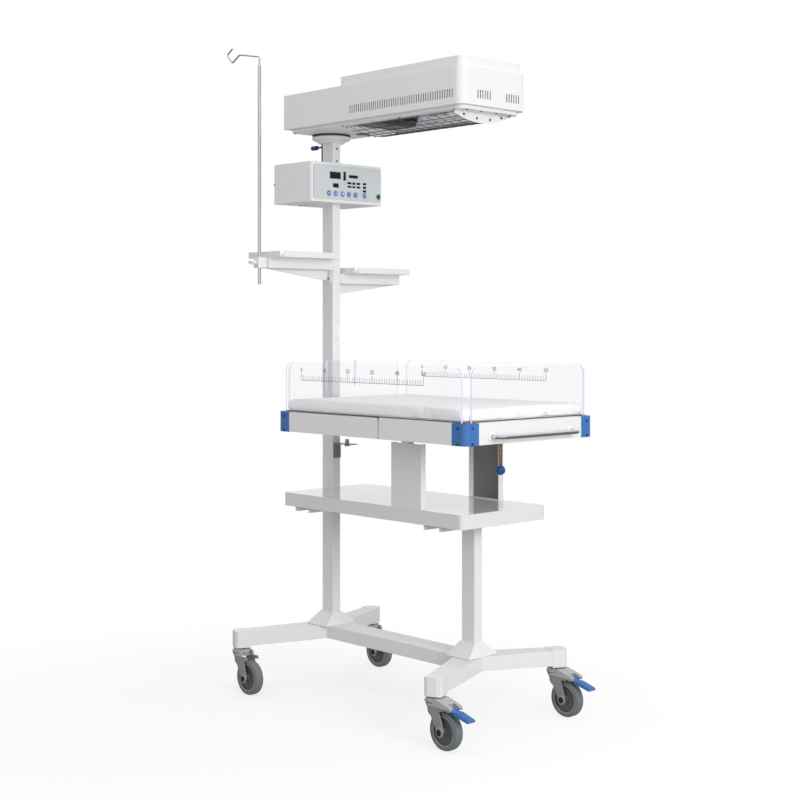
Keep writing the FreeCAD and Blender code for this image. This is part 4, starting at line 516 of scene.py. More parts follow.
def applyModifiers(item):
    mesh = evaluatedMesh(item)
    item.modifiers.clear()
    item.data = mesh


# Geometry node groups for what repeats

def placeCopies(tree, inputs, material):
    copies = addNode(tree, "GeometryNodeInstanceOnPoints", inputs)["Instances"]
    real = addNode(tree, "GeometryNodeRealizeInstances", {"Geometry": copies})["Geometry"]
    return addNode(tree, "GeometryNodeSetMaterial", {"Geometry": real, "Material": material})["Geometry"]


def makeRowGroup():
    inputs = {"Geometry": "Geometry", "Item": "Object", "Material": "Material", "Count": 10, "Tall Every": 10,
              "Start": (0.0, 0.0, 0.0), "Step": (0.01, 0.0, 0.0), "Tall Scale": (1.0, 1.0, 1.0)}
    tree, entry, leave = newGroup("rowOfCopies", "GeometryNodeTree", inputs, {"Geometry": "Geometry"})
    run = {"Count": entry["Count"], "Start Location": entry["Start"], "Offset": entry["Step"]}
    line = addNode(tree, "GeometryNodeMeshLine", run, mode="OFFSET")["Mesh"]
    item = addNode(tree, "GeometryNodeObjectInfo", {"Object": entry["Item"], "As Instance": True})["Geometry"]
    rest = addMath(tree, "MODULO", addNode(tree, "GeometryNodeInputIndex")[0], entry["Tall Every"])
    tall = addNode(tree, "FunctionNodeCompare", {"A": rest, "B": 0.0, "Epsilon": 0.01},
                   data_type="FLOAT", operation="EQUAL")["Result"]
    choice = {"Switch": tall, "False": (1.0, 1.0, 1.0), "True": entry["Tall Scale"]}
    scale = addNode(tree, "GeometryNodeSwitch", choice, input_type="VECTOR")["Output"]
    painted = placeCopies(tree, {"Points": line, "Instance": item, "Scale": scale}, entry["Material"])
    tree.links.new(painted, leave["Geometry"])
    return tree


def makeScrewGroup():
    inputs = {"Geometry": "Geometry", "Item": "Object", "Seed": 7, "Material": "Material"}
    tree, entry, leave = newGroup("screwsAtPoints", "GeometryNodeTree", inputs, {"Geometry": "Geometry"})
    item = addNode(tree, "GeometryNodeObjectInfo", {"Object": entry["Item"], "As Instance": True})["Geometry"]
    aim = addNode(tree, "GeometryNodeInputNamedAttribute", {"Name": "aim"}, data_type="FLOAT_VECTOR")
    size = addNode(tree, "GeometryNodeInputNamedAttribute", {"Name": "size"}, data_type="FLOAT")
    toward = addNode(tree, "FunctionNodeAlignRotationToVector", {"Vector": aim["Attribute"]}, axis="Z")
    spin = addNode(tree, "FunctionNodeRandomValue", {"Seed": entry["Seed"], 3: math.pi}, data_type="FLOAT")
    turn = addNode(tree, "FunctionNodeAxisAngleToRotation", {"Axis": (0.0, 0.0, 1.0), "Angle": spin[1]})
    both = {"Rotation": toward["Rotation"], "Rotate By": turn["Rotation"]}
    rotation = addNode(tree, "FunctionNodeRotateRotation", both, rotation_space="LOCAL")
    placing = {"Points": entry["Geometry"], "Instance": item, "Rotation": rotation["Rotation"],
               "Scale": size["Attribute"]}
    tree.links.new(placeCopies(tree, placing, entry["Material"]), leave["Geometry"])
    return tree


rowGroup = makeRowGroup()
screwGroup = makeScrewGroup()


def bake(name, carrier, group, values, body):
    modifier = carrier.modifiers.new("repeat", "NODES")
    modifier.node_group = group
    for entry in group.interface.items_tree:
        if entry.in_out == "INPUT" and entry.name in values:
            modifier[entry.identifier] = values[entry.name]
    mesh = evaluatedMesh(carrier)
    bpy.data.objects.remove(carrier)
    mesh.name = name
    item = bpy.data.objects.new(name, mesh)
    scene.collection.objects.link(item)
    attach(item, body)
    return item


def pointCarrier(name, spots):
    mesh = bpy.data.meshes.new(name)
    mesh.from_pydata([spot[0] for spot in spots], [], [])
    mesh.attributes.new("aim", "FLOAT_VECTOR", "POINT")
    mesh.attributes.new("size", "FLOAT", "POINT")
    for index, (place, aim, size) in enumerate(spots):
        mesh.attributes["aim"].data[index].vector = aim
        mesh.attributes["size"].data[index].value = size
    carrier = bpy.data.objects.new(name, mesh)
    scene.collection.objects.link(carrier)
    return carrier


def bakeRow(name, item, start, step, count, body, tallEvery=1, tallScale=(1.0, 1.0, 1.0)):
    carrier = pointCarrier(name + "Spots", [((0, 0, 0), up, 1.0)])
    values = {"Item": item, "Count": count, "Start": tuple(start), "Step": tuple(step),
              "Tall Every": tallEvery, "Tall Scale": tallScale, "Material": item.data.materials[0]}
    made = bake(name, carrier, rowGroup, values, body)
    bpy.data.objects.remove(item)
    return made


# Rulers printed on the two long guards

ruler = {"start": -0.144, "pitch": 0.010, "count": 51, "every": 10, "base": 0.934, "tick": 0.013,
         "line": 0.0011, "depth": 0.0002, "tall": (1.3, 1.0, 1.55), "numberRise": 0.0235,
         "numberSize": 0.0165}


def makeTick():
    bm = bmesh.new()
    width, depth = ruler["line"] / 2, ruler["depth"] / 2
    addBox(bm, (-width, -depth, 0), (width, depth, ruler["tick"]))
    return finishMesh("tickMark", bm, ink, None, smooth=False)


def addNumber(bm, words, x, face):
    curve = bpy.data.curves.new("number", "FONT")
    curve.body = words
    curve.size = ruler["numberSize"]
    curve.align_x = "CENTER"
    curve.extrude = ruler["depth"] / 2
    curve.resolution_u = 3
    item = bpy.data.objects.new("number", curve)
    scene.collection.objects.link(item)
    mesh = evaluatedMesh(item)
    stand = Matrix.Rotation(math.pi / 2, 4, "X")
    mesh.transform(Matrix.Translation((x, face, ruler["base"] + ruler["numberRise"])) @ stand)
    bm.from_mesh(mesh)
    bpy.data.objects.remove(item)


def makeRuler(name, body, node):
    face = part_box(node)[0].y - ruler["depth"]
    bakeRow(name + "Ticks", makeTick(), (ruler["start"], face, ruler["base"]), (ruler["pitch"], 0.0, 0.0),
            ruler["count"], body, ruler["every"], ruler["tall"])
    bm = bmesh.new()
    end = ruler["start"] + ruler["pitch"] * (ruler["count"] - 1)
    half = ruler["depth"] / 2
    low = (ruler["start"], face - half, ruler["base"] - ruler["line"])
    addBox(bm, low, (end, face + half, ruler["base"]))
    for step in range(0, ruler["count"], ruler["every"]):
        addNumber(bm, str(step), ruler["start"] + ruler["pitch"] * step, face)
    finishMesh(name + "Scale", bm, ink, body, smooth=False)


makeRuler("rulerNear", "near_guard", "guard_near")
makeRuler("rulerFar", "far_guard", "guard_far")
print("rulers made")


# Mattress, puffed by a short cloth run

pad = {"margin": 0.0015, "lift": 0.0004, "headroom": 0.001, "corner": 0.02, "edge": 0.008, "voxel": 0.0062,
       "crown": 0.0028, "slack": 0.0009, "seat": 0.0002}
filling = {"quality": 5, "mass": 0.3, "stretch": 30, "bend": 2, "pressure": 2.5, "frames": 20}
dips = {"depth": 0.0012, "calmRim": 0.08, "alongX": 9.0, "shiftX": 0.6, "alongY": 12.0, "shiftY": -0.4}
padLow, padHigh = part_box("mattress")
padMiddle = (padLow + padHigh) / 2


def makePadMesh():
    bm = bmesh.new()
    low = padLow + Vector((pad["margin"], pad["margin"], pad["lift"]))
    high = padHigh - Vector((pad["margin"], pad["margin"], pad["headroom"]))
    addBox(bm, low, high)
    upright = [edge for edge in bm.edges if abs((edge.verts[0].co - edge.verts[1].co).z) > 0.01]
    bevelEdges(bm, upright, pad["corner"], 6)
    rims = []
    for edge in bm.edges:
        level = abs((edge.verts[0].co - edge.verts[1].co).z) < 1e-5
        if level and len(edge.link_faces) == 2:
            if abs(edge.link_faces[0].normal.z - edge.link_faces[1].normal.z) > 0.5:
                rims.append(edge)
    bevelEdges(bm, rims, pad["edge"], 3)
    item = finishMesh("softMattress", bm, slots["mattress_cover"], None)
    remesh = item.modifiers.new("remesh", "REMESH")
    remesh.mode = "VOXEL"
    remesh.voxel_size = pad["voxel"]
    applyModifiers(item)
    return item


def puff(item):
    cloth = item.modifiers.new("cloth", "CLOTH")
    settings = cloth.settings
    settings.quality = filling["quality"]
    settings.mass = filling["mass"]
    settings.tension_stiffness = filling["stretch"]
    settings.compression_stiffness = filling["stretch"]
    settings.bending_stiffness = filling["bend"]
    settings.use_pressure = True
    settings.uniform_pressure_force = filling["pressure"]
    settings.effector_weights.gravity = 0
    cloth.point_cache.frame_start = 1
    cloth.point_cache.frame_end = filling["frames"]
    for step in range(1, filling["frames"] + 1):
        scene.frame_set(step)
    applyModifiers(item)
    scene.frame_set(1)


def smoothStep(value):
    value = min(max(value, 0.0), 1.0)
    return value * value * (3 - 2 * value)


# Keeps the puffed pad on its board and inside the guards, with soft dips across it

def settle(item):
    limitX = (padHigh.x - padLow.x) / 2
    limitY = (padHigh.y - padLow.y) / 2 + pad["slack"]
    growX = limitX / max(abs(vert.co.x - padMiddle.x) for vert in item.data.vertices)
    growY = limitY / max(abs(vert.co.y - padMiddle.y) for vert in item.data.vertices)
    for vert in item.data.vertices:
        x = padMiddle.x + (vert.co.x - padMiddle.x) * growX
        y = padMiddle.y + (vert.co.y - padMiddle.y) * growY
        z = vert.co.z
        x = min(max(x, padMiddle.x - limitX), padMiddle.x + limitX)
        y = min(max(y, padMiddle.y - limitY), padMiddle.y + limitY)
        inward = min(limitX - abs(x - padMiddle.x), limitY - abs(y - padMiddle.y))
        wave = math.sin(x * dips["alongX"] + dips["shiftX"]) * math.cos(y * dips["alongY"] + dips["shiftY"])
        if z > padMiddle.z:
            z = min(z, padHigh.z + pad["crown"])
            z += wave * dips["depth"] * smoothStep(inward / dips["calmRim"])
        vert.co = (x, y, max(z, padLow.z + pad["seat"]))


mattress = makePadMesh()
puff(mattress)
settle(mattress)
refine = mattress.modifiers.new("refine", "SUBSURF")
refine.levels = 1
refine.render_levels = 1
applyModifiers(mattress)
mattress.data.shade_smooth()
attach(mattress, "bed")
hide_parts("mattress")
print("mattress made:", len(mattress.data.polygons), "faces")

seam = {"height": 0.4, "radius": 0.0011, "count": 420, "sink": 0.0004, "within": 0.8, "beyond": 1.2}


def seamPoints(item):
    tree = BVHTree.FromObject(item, bpy.context.evaluated_depsgraph_get())
    half = (padHigh - padLow) / 2
    centre = Vector((padMiddle.x, padMiddle.y, padLow.z + half.z * 2 * seam["height"]))
    points = []
    for step in range(seam["count"]):
        angle = 2 * math.pi * step / seam["count"]
        direction = Vector((math.cos(angle) * half.x, math.sin(angle) * half.y, 0))
        direction /= max(abs(direction.x) / half.x, abs(direction.y) / half.y)
        core = centre + direction * seam["within"]
        spot = centre + direction * seam["beyond"]
        hit = tree.ray_cast(spot, (core - spot).normalized())[0]
        points.append(hit - direction.normalized() * seam["sink"] if hit else spot)
    return points


bm = bmesh.new()
addTube(bm, seamPoints(mattress), seam["radius"], 8, closed=True)
piping = finishMesh("mattressPiping", bm, slots["mattress_cover"], "bed")
print("piping made")


# Control panel: dark displays, indicator windows, lamps, symbols on the keys

panel = {"face": -0.2170, "floor": -0.2184, "glass": -0.2173, "bevel": 0.0003, "ghost": 0.0001}
displays = [
    {"y": (-0.0736, -0.0314), "z": (1.5264, 1.5466), "digits": 3},
    {"y": (0.0014, 0.0366), "z": (1.5324, 1.5411), "digits": 4},
    {"y": (-0.0616, -0.0394), "z": (1.5004, 1.5126), "digits": 3},
]
levelWindow = ((-0.0206, -0.0114), (1.5234, 1.5496))
alarmWindows = {"y": [(-0.0048, 0.0108), (0.0152, 0.0268), (0.0322, 0.0458)],
                "z": [(1.5132, 1.5198), (1.5032, 1.5088)]}
sideWindows = {"y": (0.0572, 0.0703), "bottoms": (1.4922, 1.5032, 1.5142), "height": 0.0066}
digit = {"left": 0.22, "right": 0.78, "margin": 0.18, "line": 0.16, "gap": 1.3}


def addWindow(bm, y, z):
    addBox(bm, (panel["floor"], y[0], z[0]), (panel["glass"], y[1], z[1]), panel["bevel"])


def addSegments(bm, display):
    low, high = display["y"]
    bottom, top = display["z"]
    pitch = (high - low) / display["digits"]
    margin = (top - bottom) * digit["margin"]
    upper, lower = top - margin, bottom + margin
    middle = (upper + lower) / 2
    for place in range(display["digits"]):
        left, right = low + pitch * (place + digit["left"]), low + pitch * (place + digit["right"])
        line = (right - left) * digit["line"]
        bars = [(left, right, upper - line, upper), (left, right, lower, lower + line),
                (left, right, middle - line / 2, middle + line / 2)]
        for side in (left, right - line):
            bars.append((side, side + line, middle + line, upper - line * digit["gap"]))
            bars.append((side, side + line, lower + line * digit["gap"], middle - line))
        for start, end, foot, head in bars:
            addBox(bm, (panel["glass"], start, foot), (panel["glass"] + panel["ghost"], end, head))


def makeDisplays():
    glass, ghosts = bmesh.new(), bmesh.new()
    for display in displays:
        addWindow(glass, display["y"], display["z"])
        addSegments(ghosts, display)
    addWindow(glass, *levelWindow)
    for y in alarmWindows["y"]:
        for z in alarmWindows["z"]:
            addWindow(glass, y, z)
    for bottom in sideWindows["bottoms"]:
        addWindow(glass, sideWindows["y"], (bottom, bottom + sideWindows["height"]))
    finishMesh("panelDisplays", glass, darkGlass, "stand")
    finishMesh("panelSegments", ghosts, ghostRed, "stand", smooth=False)


levelMark = {"count": 5, "bottom": 1.5262, "pitch": 0.0045, "height": 0.0024, "left": -0.0096,
             "right": -0.0060, "taper": 0.0003, "depth": 0.0002}


def makeLevelMarks():
    bm = bmesh.new()
    for step in range(levelMark["count"]):
        low = levelMark["bottom"] + step * levelMark["pitch"]
        right = levelMark["right"] - step * levelMark["taper"]
        addBox(bm, (panel["face"], levelMark["left"], low),
               (panel["face"] + levelMark["depth"], right, low + levelMark["height"]))
    finishMesh("panelLevelMarks", bm, paleBlue, "stand", smooth=False)


lamp = {"profile": [(0.0, 0.0013), (0.0008, 0.0011), (0.0014, 0.0005), (0.0015, 0.0), (0.0, 0.0)],
        "spots": [(-0.017, 1.512, 1.4), (0.049, 1.517, 1.0), (0.049, 1.507, 1.0), (0.049, 1.499, 1.0)]}


def makeLamps():
    bm = bmesh.new()
    for side, height, size in lamp["spots"]:
        scaled = [(radius * size, rise * size) for radius, rise in lamp["profile"]]
        addLathe(bm, scaled, aimed((panel["face"], side, height), ahead), 16)
    finishMesh("panelLamps", bm, ledGreen, "stand")


makeDisplays()
makeLevelMarks()
makeLamps()
socket = {"seat": (-0.2140, 0.1184, 1.4814),
          "ring": [(0.0050, 0.0), (0.0050, 0.0012), (0.0056, 0.0016), (0.0079, 0.0016), (0.0084, 0.0010),
                   (0.0084, 0.0), (0.0050, 0.0)],
          "cup": [(0.0, -0.0148), (0.0010, -0.0142), (0.0012, -0.0090), (0.0016, -0.0090), (0.0018, -0.0148),
                  (0.0043, -0.0148), (0.0043, -0.0008), (0.0044, -0.0008), (0.0044, -0.0152), (0.0, -0.0152)]}
makeLathe("socketRing", socket["ring"], socket["seat"], ahead, ringGreen, "stand", 40)
makeLathe("socketContacts", socket["cup"], socket["seat"], ahead, slots["black_plastic"], "stand")

symbol = {"depth": 0.00015, "ring": (0.0060, 0.0064), "half": 0.0036}


def circlePoints(centreY, centreZ, radius, count=20):
    points = []
    for step in range(count):
        angle = 2 * math.pi * step / count
        points.append((centreY + radius * math.cos(angle), centreZ + radius * math.sin(angle)))
    return points


def bar(y, z, half, low, high):
    return [(y - half, z + low), (y + half, z + low), (y + half, z + high), (y - half, z + high)]


def addArcBand(bm, centre, inner, outer, start, end, depth, steps=14):
    for step in range(steps):
        first, last = start + (end - start) * step / steps, start + (end - start) * (step + 1) / steps
        corners = ((inner, first), (outer, first), (outer, last), (inner, last))
        outline = [(centre[0] + radius * math.cos(angle), centre[1] + radius * math.sin(angle))
                   for radius, angle in corners]
        addPlate(bm, outline, "x", depth, depth + symbol["depth"])


def addSymbol(bm, kind, y, z, depth):
    left, right = y - symbol["half"], y + symbol["half"]
    outlines = {
        "down": [[(left, z + 0.0024), (right, z + 0.0024), (y, z - 0.0034)]],
        "up": [[(left, z - 0.0016), (right, z - 0.0016), (y, z + 0.0040)],
               bar(y, z, symbol["half"], -0.0036, -0.0026)],
        "lamp": [circlePoints(y, z + 0.0008, 0.0030), bar(y, z, 0.0014, -0.0042, -0.0028)],
        "mute": [[(left, z + 0.0026), (left + 0.0012, z + 0.0038), (right, z - 0.0026),
                  (right - 0.0012, z - 0.0038)]],
        "pair": [circlePoints(y, z + side, 0.0016, 14) for side in (-0.0020, 0.0020)],
        "power": [bar(y, z, 0.0004, 0, 0.0044)],
    }
    for outline in outlines[kind]:
        addPlate(bm, outline, "x", depth, depth + symbol["depth"])
    if kind == "mute":
        addArcBand(bm, (y, z), 0.0024, 0.0032, 0.9, 2.6, depth)
    if kind == "power":
        addArcBand(bm, (y, z), 0.0028, 0.0037, -1.0, 4.14, depth, 20)


for number, kind in enumerate(("down", "up", "lamp", "mute", "pair", "power"), start=1):
    low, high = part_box(f"function_key_{number}")
    bm = bmesh.new()
    centre = ((low.y + high.y) / 2, (low.z + high.z) / 2)
    addSymbol(bm, kind, *centre, high.x)
    addArcBand(bm, centre, *symbol["ring"], 0.0, 2 * math.pi, high.x, 36)
    finishMesh(f"keySymbol_{number}", bm, iconWhite, f"key_{number}", smooth=False)
print("panel made")


# Screws, one mesh for each body

screw = {"pan": [(0.0, 0.0022), (0.0014, 0.0021), (0.0026, 0.0016), (0.0032, 0.0006), (0.0033, 0.0),
                 (0.0, 0.0)],
         "socket": [(0.0, 0.0002), (0.0012, 0.0002), (0.0013, 0.0008), (0.0022, 0.0008), (0.0026, 0.0005),
                    (0.0027, 0.0), (0.0, 0.0)],
         "crossArm": 0.0021, "crossLine": 0.00035, "crossLow": 0.0012, "crossTop": 0.00235,
         "crossStep": 0.00001}


def makeScrew(name, profile, cross):
    bm = bmesh.new()
    addLathe(bm, profile, Matrix.Identity(4), 24)
    if cross:
        arm, line = screw["crossArm"], screw["crossLine"]
        addBox(bm, (-arm, -line, screw["crossLow"]), (arm, line, screw["crossTop"]))
        addBox(bm, (-line, -arm, screw["crossLow"]), (line, arm, screw["crossTop"] - screw["crossStep"]))
    return finishMesh(name, bm, steel, None)


def bakeScrews(body, spots, item, seed, material):
    values = {"Item": item, "Seed": seed, "Material": material}
    bake(body + "Screws", pointCarrier(body + "Spots", spots), screwGroup, values, body)


panHead = makeScrew("panHead", screw["pan"], True)
socketHead = makeScrew("socketHead", screw["socket"], False)
boxLow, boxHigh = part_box("control_box")
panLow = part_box("hood_pan")[0]
shellLow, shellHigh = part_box("hood_shell")
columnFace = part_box("rear_column_upper")[1].x

boxScrews = {"inset": 0.008, "height": 1.515, "underX": (-0.372, -0.345), "underY": (-0.06, 0.06)}
columnScrews = {"upper": (1.625, 1.587), "lower": (0.722, 0.703), "sleeve": 0.003}
clampScrews = {"x": (-0.289, -0.305), "half": 0.019, "near": 1.232, "far": 1.191}
standScrews = []
for face, way in ((boxLow.y, -1), (boxHigh.y, 1)):
    standScrews.append(((boxLow.x + boxScrews["inset"], face, boxScrews["height"]), (0, way, 0), 0.9))
for x in boxScrews["underX"]:
    standScrews += [((x, y, boxLow.z), down, 1.0) for y in boxScrews["underY"]]
standScrews += [((columnFace, 0, height), ahead, 1.1) for height in columnScrews["upper"]]
sleeveFace = columnFace + columnScrews["sleeve"]
standScrews += [((sleeveFace, 0, height), ahead, 1.1) for height in columnScrews["lower"]]
for way, height in ((-1, clampScrews["near"]), (1, clampScrews["far"])):
    standScrews += [((x, way * clampScrews["half"], height), (0, way, 0), 1.1) for x in clampScrews["x"]]
bakeScrews("stand", standScrews, panHead, 3, steel)

panSpots = [(-0.345, -0.102), (-0.119, -0.107), (0.12, -0.108), (0.335, -0.108), (0.361, -0.085),
            (0.361, -0.03), (0.361, 0.03), (0.361, 0.085), (0.335, 0.108), (0.12, 0.108), (-0.119, 0.107),
            (-0.345, 0.102)]
shellSpots = [(y, z) for y in (-0.105, 0.105) for z in (1.70, 1.76)]
endPlateScrews = {"face": 0.3308,
                  "spots": [(-0.066, 1.661), (-0.016, 1.654), (0.036, 1.654), (0.082, 1.6635)]}
hoodScrews = [((x, y, panLow.z), down, 1.15) for x, y in panSpots]
hoodScrews += [((shellLow.x, y, z), (-1, 0, 0), 1.0) for y, z in shellSpots]
hoodScrews += [((endPlateScrews["face"], y, z), ahead, 1.2) for y, z in endPlateScrews["spots"]]
bakeScrews("hood", hoodScrews, panHead, 5, steel)

corner = {"ends": ((0.517, 1), (-0.241, -1)), "levels": (0.789, 0.829), "inset": 0.0275, "side": 0.2505,
          "proud": 0.0005, "endSide": 0.225, "size": 1.4}
bedScrews = []
for endX, sign in corner["ends"]:
    for way in (-1, 1):
        for height in corner["levels"]:
            sideSpot = (endX - corner["inset"] * sign, corner["side"] * way, height)
            endSpot = (endX + corner["proud"] * sign, corner["endSide"] * way, height)
            bedScrews += [(sideSpot, (0, way, 0), corner["size"]), (endSpot, (sign, 0, 0), corner["size"])]
bakeScrews("bed", bedScrews, socketHead, 9, slots["black_steel"])
for spare in (panHead, socketHead):
    bpy.data.objects.remove(spare)
print("screws made")


# Casters: brake pedal ribs, kingpin nuts and collars, fork webs and axle caps

ribs = {"count": 5, "pitch": 0.0082, "width": 0.0235, "height": 0.0016, "length": 0.0034, "inset": 0.039,
        "bevel": 0.0004, "probeRise": 0.1}


def faceOf(node, start, direction):
    tree = BVHTree.FromObject(nodes[node], bpy.context.evaluated_depsgraph_get())
    return tree.ray_cast(Vector(start), Vector(direction))[0]


def makeRib(slope):
    bm = bmesh.new()
    tip = Vector((ribs["length"] / 2, ribs["width"] / 2, ribs["height"]))
    addBox(bm, -tip, tip, ribs["bevel"])
    bmesh.ops.rotate(bm, verts=bm.verts, matrix=Matrix.Rotation(slope, 3, "Y"))
    return finishMesh("ribMark", bm, slots["blue_plastic"], None)


for side in ("near", "far"):
    pedal = f"brake_pedal_front_{side}"
    low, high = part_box(pedal)
    centre = (low.y + high.y) / 2
    first = Vector((high.x - ribs["inset"], centre, 0))
    last = Vector((first.x + ribs["pitch"] * (ribs["count"] - 1), centre, 0))
    for spot in (first, last):
        spot.z = faceOf(pedal, (spot.x, centre, high.z + ribs["probeRise"]), down).z
    rib = makeRib(math.atan2(first.z - last.z, last.x - first.x))
    pitch = (last - first) / (ribs["count"] - 1)
    bakeRow(f"pedalRibs_{side}", rib, first, pitch, ribs["count"], f"pedal_front_{side}")

fork = {"trail": 0.040, "armFace": 0.0229, "armInner": 0.0186, "collarInner": 0.020, "collarOuter": 0.0266,
        "collarLow": 0.1190, "collarTop": 0.1200, "probeAhead": 0.004, "probeAside": 0.1,
        "nut": [(0.0, 0.1312), (0.0118, 0.1312), (0.0118, 0.1345), (0.0, 0.1345)],
        "web": [(-0.007, 0.1125), (0.050, 0.1125), (0.052, 0.1035), (0.040, 0.1036), (0.025, 0.1014),
                (0.012, 0.0958), (0.002, 0.0880), (-0.005, 0.0960)],
        "boss": [(0.0, 0.0010), (0.0120, 0.0010), (0.0132, 0.0002), (0.0134, -0.0030), (0.0, -0.0030)],
        "cap": [(0.0, 0.0026), (0.0070, 0.0025), (0.0084, 0.0018), (0.0086, 0.0006), (0.0, 0.0006)]}


def makeForkParts(leg):
    body = f"caster_{leg}"
    low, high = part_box(f"caster_wheel_{leg}")
    axle = (low + high) / 2
    stem = Vector((axle.x - fork["trail"], axle.y, 0))
    nut, webs, caps = bmesh.new(), bmesh.new(), bmesh.new()
    addLathe(nut, fork["nut"], Matrix.Translation(stem), 6)
    inner, outer = fork["collarInner"], fork["collarOuter"]
    bottom, top = fork["collarLow"], fork["collarTop"]
    collar = [(inner, bottom), (outer, bottom), (outer, top), (inner, top), (inner, bottom)]
    addLathe(nut, collar, Matrix.Translation(stem), 56)
    for way in (-1, 1):
        ends = sorted((stem.y + way * fork["armInner"], stem.y + way * fork["armFace"]))
        addPlate(webs, [(stem.x + x, z) for x, z in fork["web"]], "y", *ends)
        probe = axle + Vector((fork["probeAhead"], way * fork["probeAside"], 0))
        face = faceOf(f"caster_fork_{leg}", probe, (0, -way, 0))
        hub = aimed((axle.x, face.y, axle.z), (0, way, 0))
        addLathe(webs, fork["boss"], hub, 40)
        addLathe(caps, fork["cap"], hub, 32)
    finishMesh(f"casterNut_{leg}", nut, slots["black_steel"], body)
    finishMesh(f"forkWebs_{leg}", webs, slots["caster_grey"], body)
    finishMesh(f"axleCap_{leg}", caps, slots["black_plastic"], body)


for leg in ("front_near", "front_far", "rear_near", "rear_far"):
    makeForkParts(leg)
print("casters made")


# Hood: the bowed heat guard with its end plate

guard = {"start": -0.108, "end": 0.330, "half": 0.098, "top": 1.6655, "drop": 0.0185, "wire": 0.0010,
         "count": 8, "crossings": 13, "pitch": 0.0347, "firstCross": 0.012, "crossWire": 0.00065,
         "under": 0.0016, "tail": 0.006, "steps": 24,
         "bead": [(0.0, 0.0022), (0.0019, 0.0014), (0.0022, 0.0), (0.0019, -0.0014), (0.0, -0.0022)]}
endPlate = {"half": 0.10192, "top": 1.6695, "lip": 0.005, "back": 0.0010, "front": 0.0008}


def bowHeight(y):
    return guard["top"] - guard["drop"] * (1 - (y / guard["half"]) ** 2)


def makeBowWire():
    bm = bmesh.new()
    points = []
    for step in range(guard["steps"] + 1):
        y = -guard["half"] + 2 * guard["half"] * step / guard["steps"]
        points.append((0, y, bowHeight(y) - guard["under"]))
    addTube(bm, points, guard["crossWire"], 8)
    return finishMesh("bowWire", bm, slots["bright_wire"], None)


def makeLongWires():
    bm = bmesh.new()
    for index in range(guard["count"]):
        y = -guard["half"] + 2 * guard["half"] * index / (guard["count"] - 1)
        height = bowHeight(y)
        tail = guard["start"] - guard["tail"]
        addTube(bm, [(x, y, height) for x in (tail, guard["start"], guard["end"])], guard["wire"], 10)
        addLathe(bm, guard["bead"], aimed((tail, y, height), ahead), 16)
    finishMesh("guardLongWires", bm, slots["bright_wire"], "hood")


def makeEndPlate():
    bm = bmesh.new()
    half = endPlate["half"]
    outline = [(-half, endPlate["top"]), (half, endPlate["top"])]
    for step in range(guard["steps"] + 1):
        y = half * (1 - 2 * step / guard["steps"])
        inside = min(max(y, -guard["half"]), guard["half"])
        outline.append((y, bowHeight(inside) - endPlate["lip"]))
    addPlate(bm, outline, "x", guard["end"] - endPlate["back"], guard["end"] + endPlate["front"])
    finishMesh("guardEndPlate", bm, slots["white_paint"], "hood", angle=30)


crossWires = bakeRow("guardCrossWires", makeBowWire(), (guard["start"] + guard["firstCross"], 0.0, 0.0),
                     (guard["pitch"], 0.0, 0.0), guard["crossings"], "hood")
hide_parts("wire_guard")
makeLongWires()
makeEndPlate()


# Hood: painted-shade sheets behind the vents, lamp, heater, cable clip, swivel felt and band painted dark as
# the gap's shadow, grommet

ventShade = {"low": 1.692, "top": 1.726, "gap": 0.0009, "sheet": 0.0003, "start": -0.075, "end": 0.352,
          "half": 0.098}


# Painted shade: thin black sheets just inside the shell's vents stand for the shadow in the slots
def makeVentScreens():
    bm = bmesh.new()
    outside = shellHigh.y - ventShade["gap"]
    for side in (-1, 1):
        ends = sorted((side * outside, side * (outside - ventShade["sheet"])))
        addBox(bm, (ventShade["start"], ends[0], ventShade["low"]), (ventShade["end"], ends[1], ventShade["top"]))
    outside = shellHigh.x - ventShade["gap"]
    addBox(bm, (outside - ventShade["sheet"], -ventShade["half"], ventShade["low"]),
           (outside, ventShade["half"], ventShade["top"]))
    finishMesh("ventScreens", bm, slots["black_plastic"], "hood", smooth=False)


makeVentScreens()
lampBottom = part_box("exam_lamp")[0].z
lens = {"centre": (0.1175, 0.029), "recess": 0.002,
        "ring": [(0.0072, 0.0), (0.0100, 0.0), (0.0106, 0.0008), (0.0100, 0.0022), (0.0080, 0.0022),
                 (0.0072, 0.0)],
        "dome": [(0.0, 0.0026), (0.0030, 0.0023), (0.0056, 0.0012), (0.0068, 0.0), (0.0, 0.0)]}
ringSeat = (*lens["centre"], lampBottom + lens["recess"])
makeLathe("lampRing", lens["ring"], ringSeat, down, slots["blue_plastic"], "hood", 36)
makeLathe("lampLens", lens["dome"], (*lens["centre"], lampBottom), down, iconWhite, "hood")

housing = {"outline": [(-0.086, 1.6725), (-0.050, 1.7350), (0.050, 1.7350), (0.086, 1.6725)],
           "start": -0.0985, "end": -0.020, "bevel": 0.002}
coil = {"start": -0.005, "length": 0.30, "side": -0.040, "height": 1.702, "radius": 0.0042, "points": 900,
        "turn": 0.42, "wire": 0.0005}
clip = {"strap": [(0.052, -0.086, 1.6722), (0.045, -0.060, 1.6726), (0.030, -0.040, 1.6730),
                  (0.020, -0.012, 1.6726)],
        "radius": 0.0022, "low": (0.052, -0.020, 1.6715), "high": (0.078, 0.004, 1.6790), "bevel": 0.0015}


def makeHousing():
    bm = bmesh.new()
    addPlate(bm, housing["outline"], "x", housing["start"], housing["end"])
    bevelEdges(bm, list(bm.edges), housing["bevel"], 2)
    finishMesh("heaterHousing", bm, endShade, "hood")


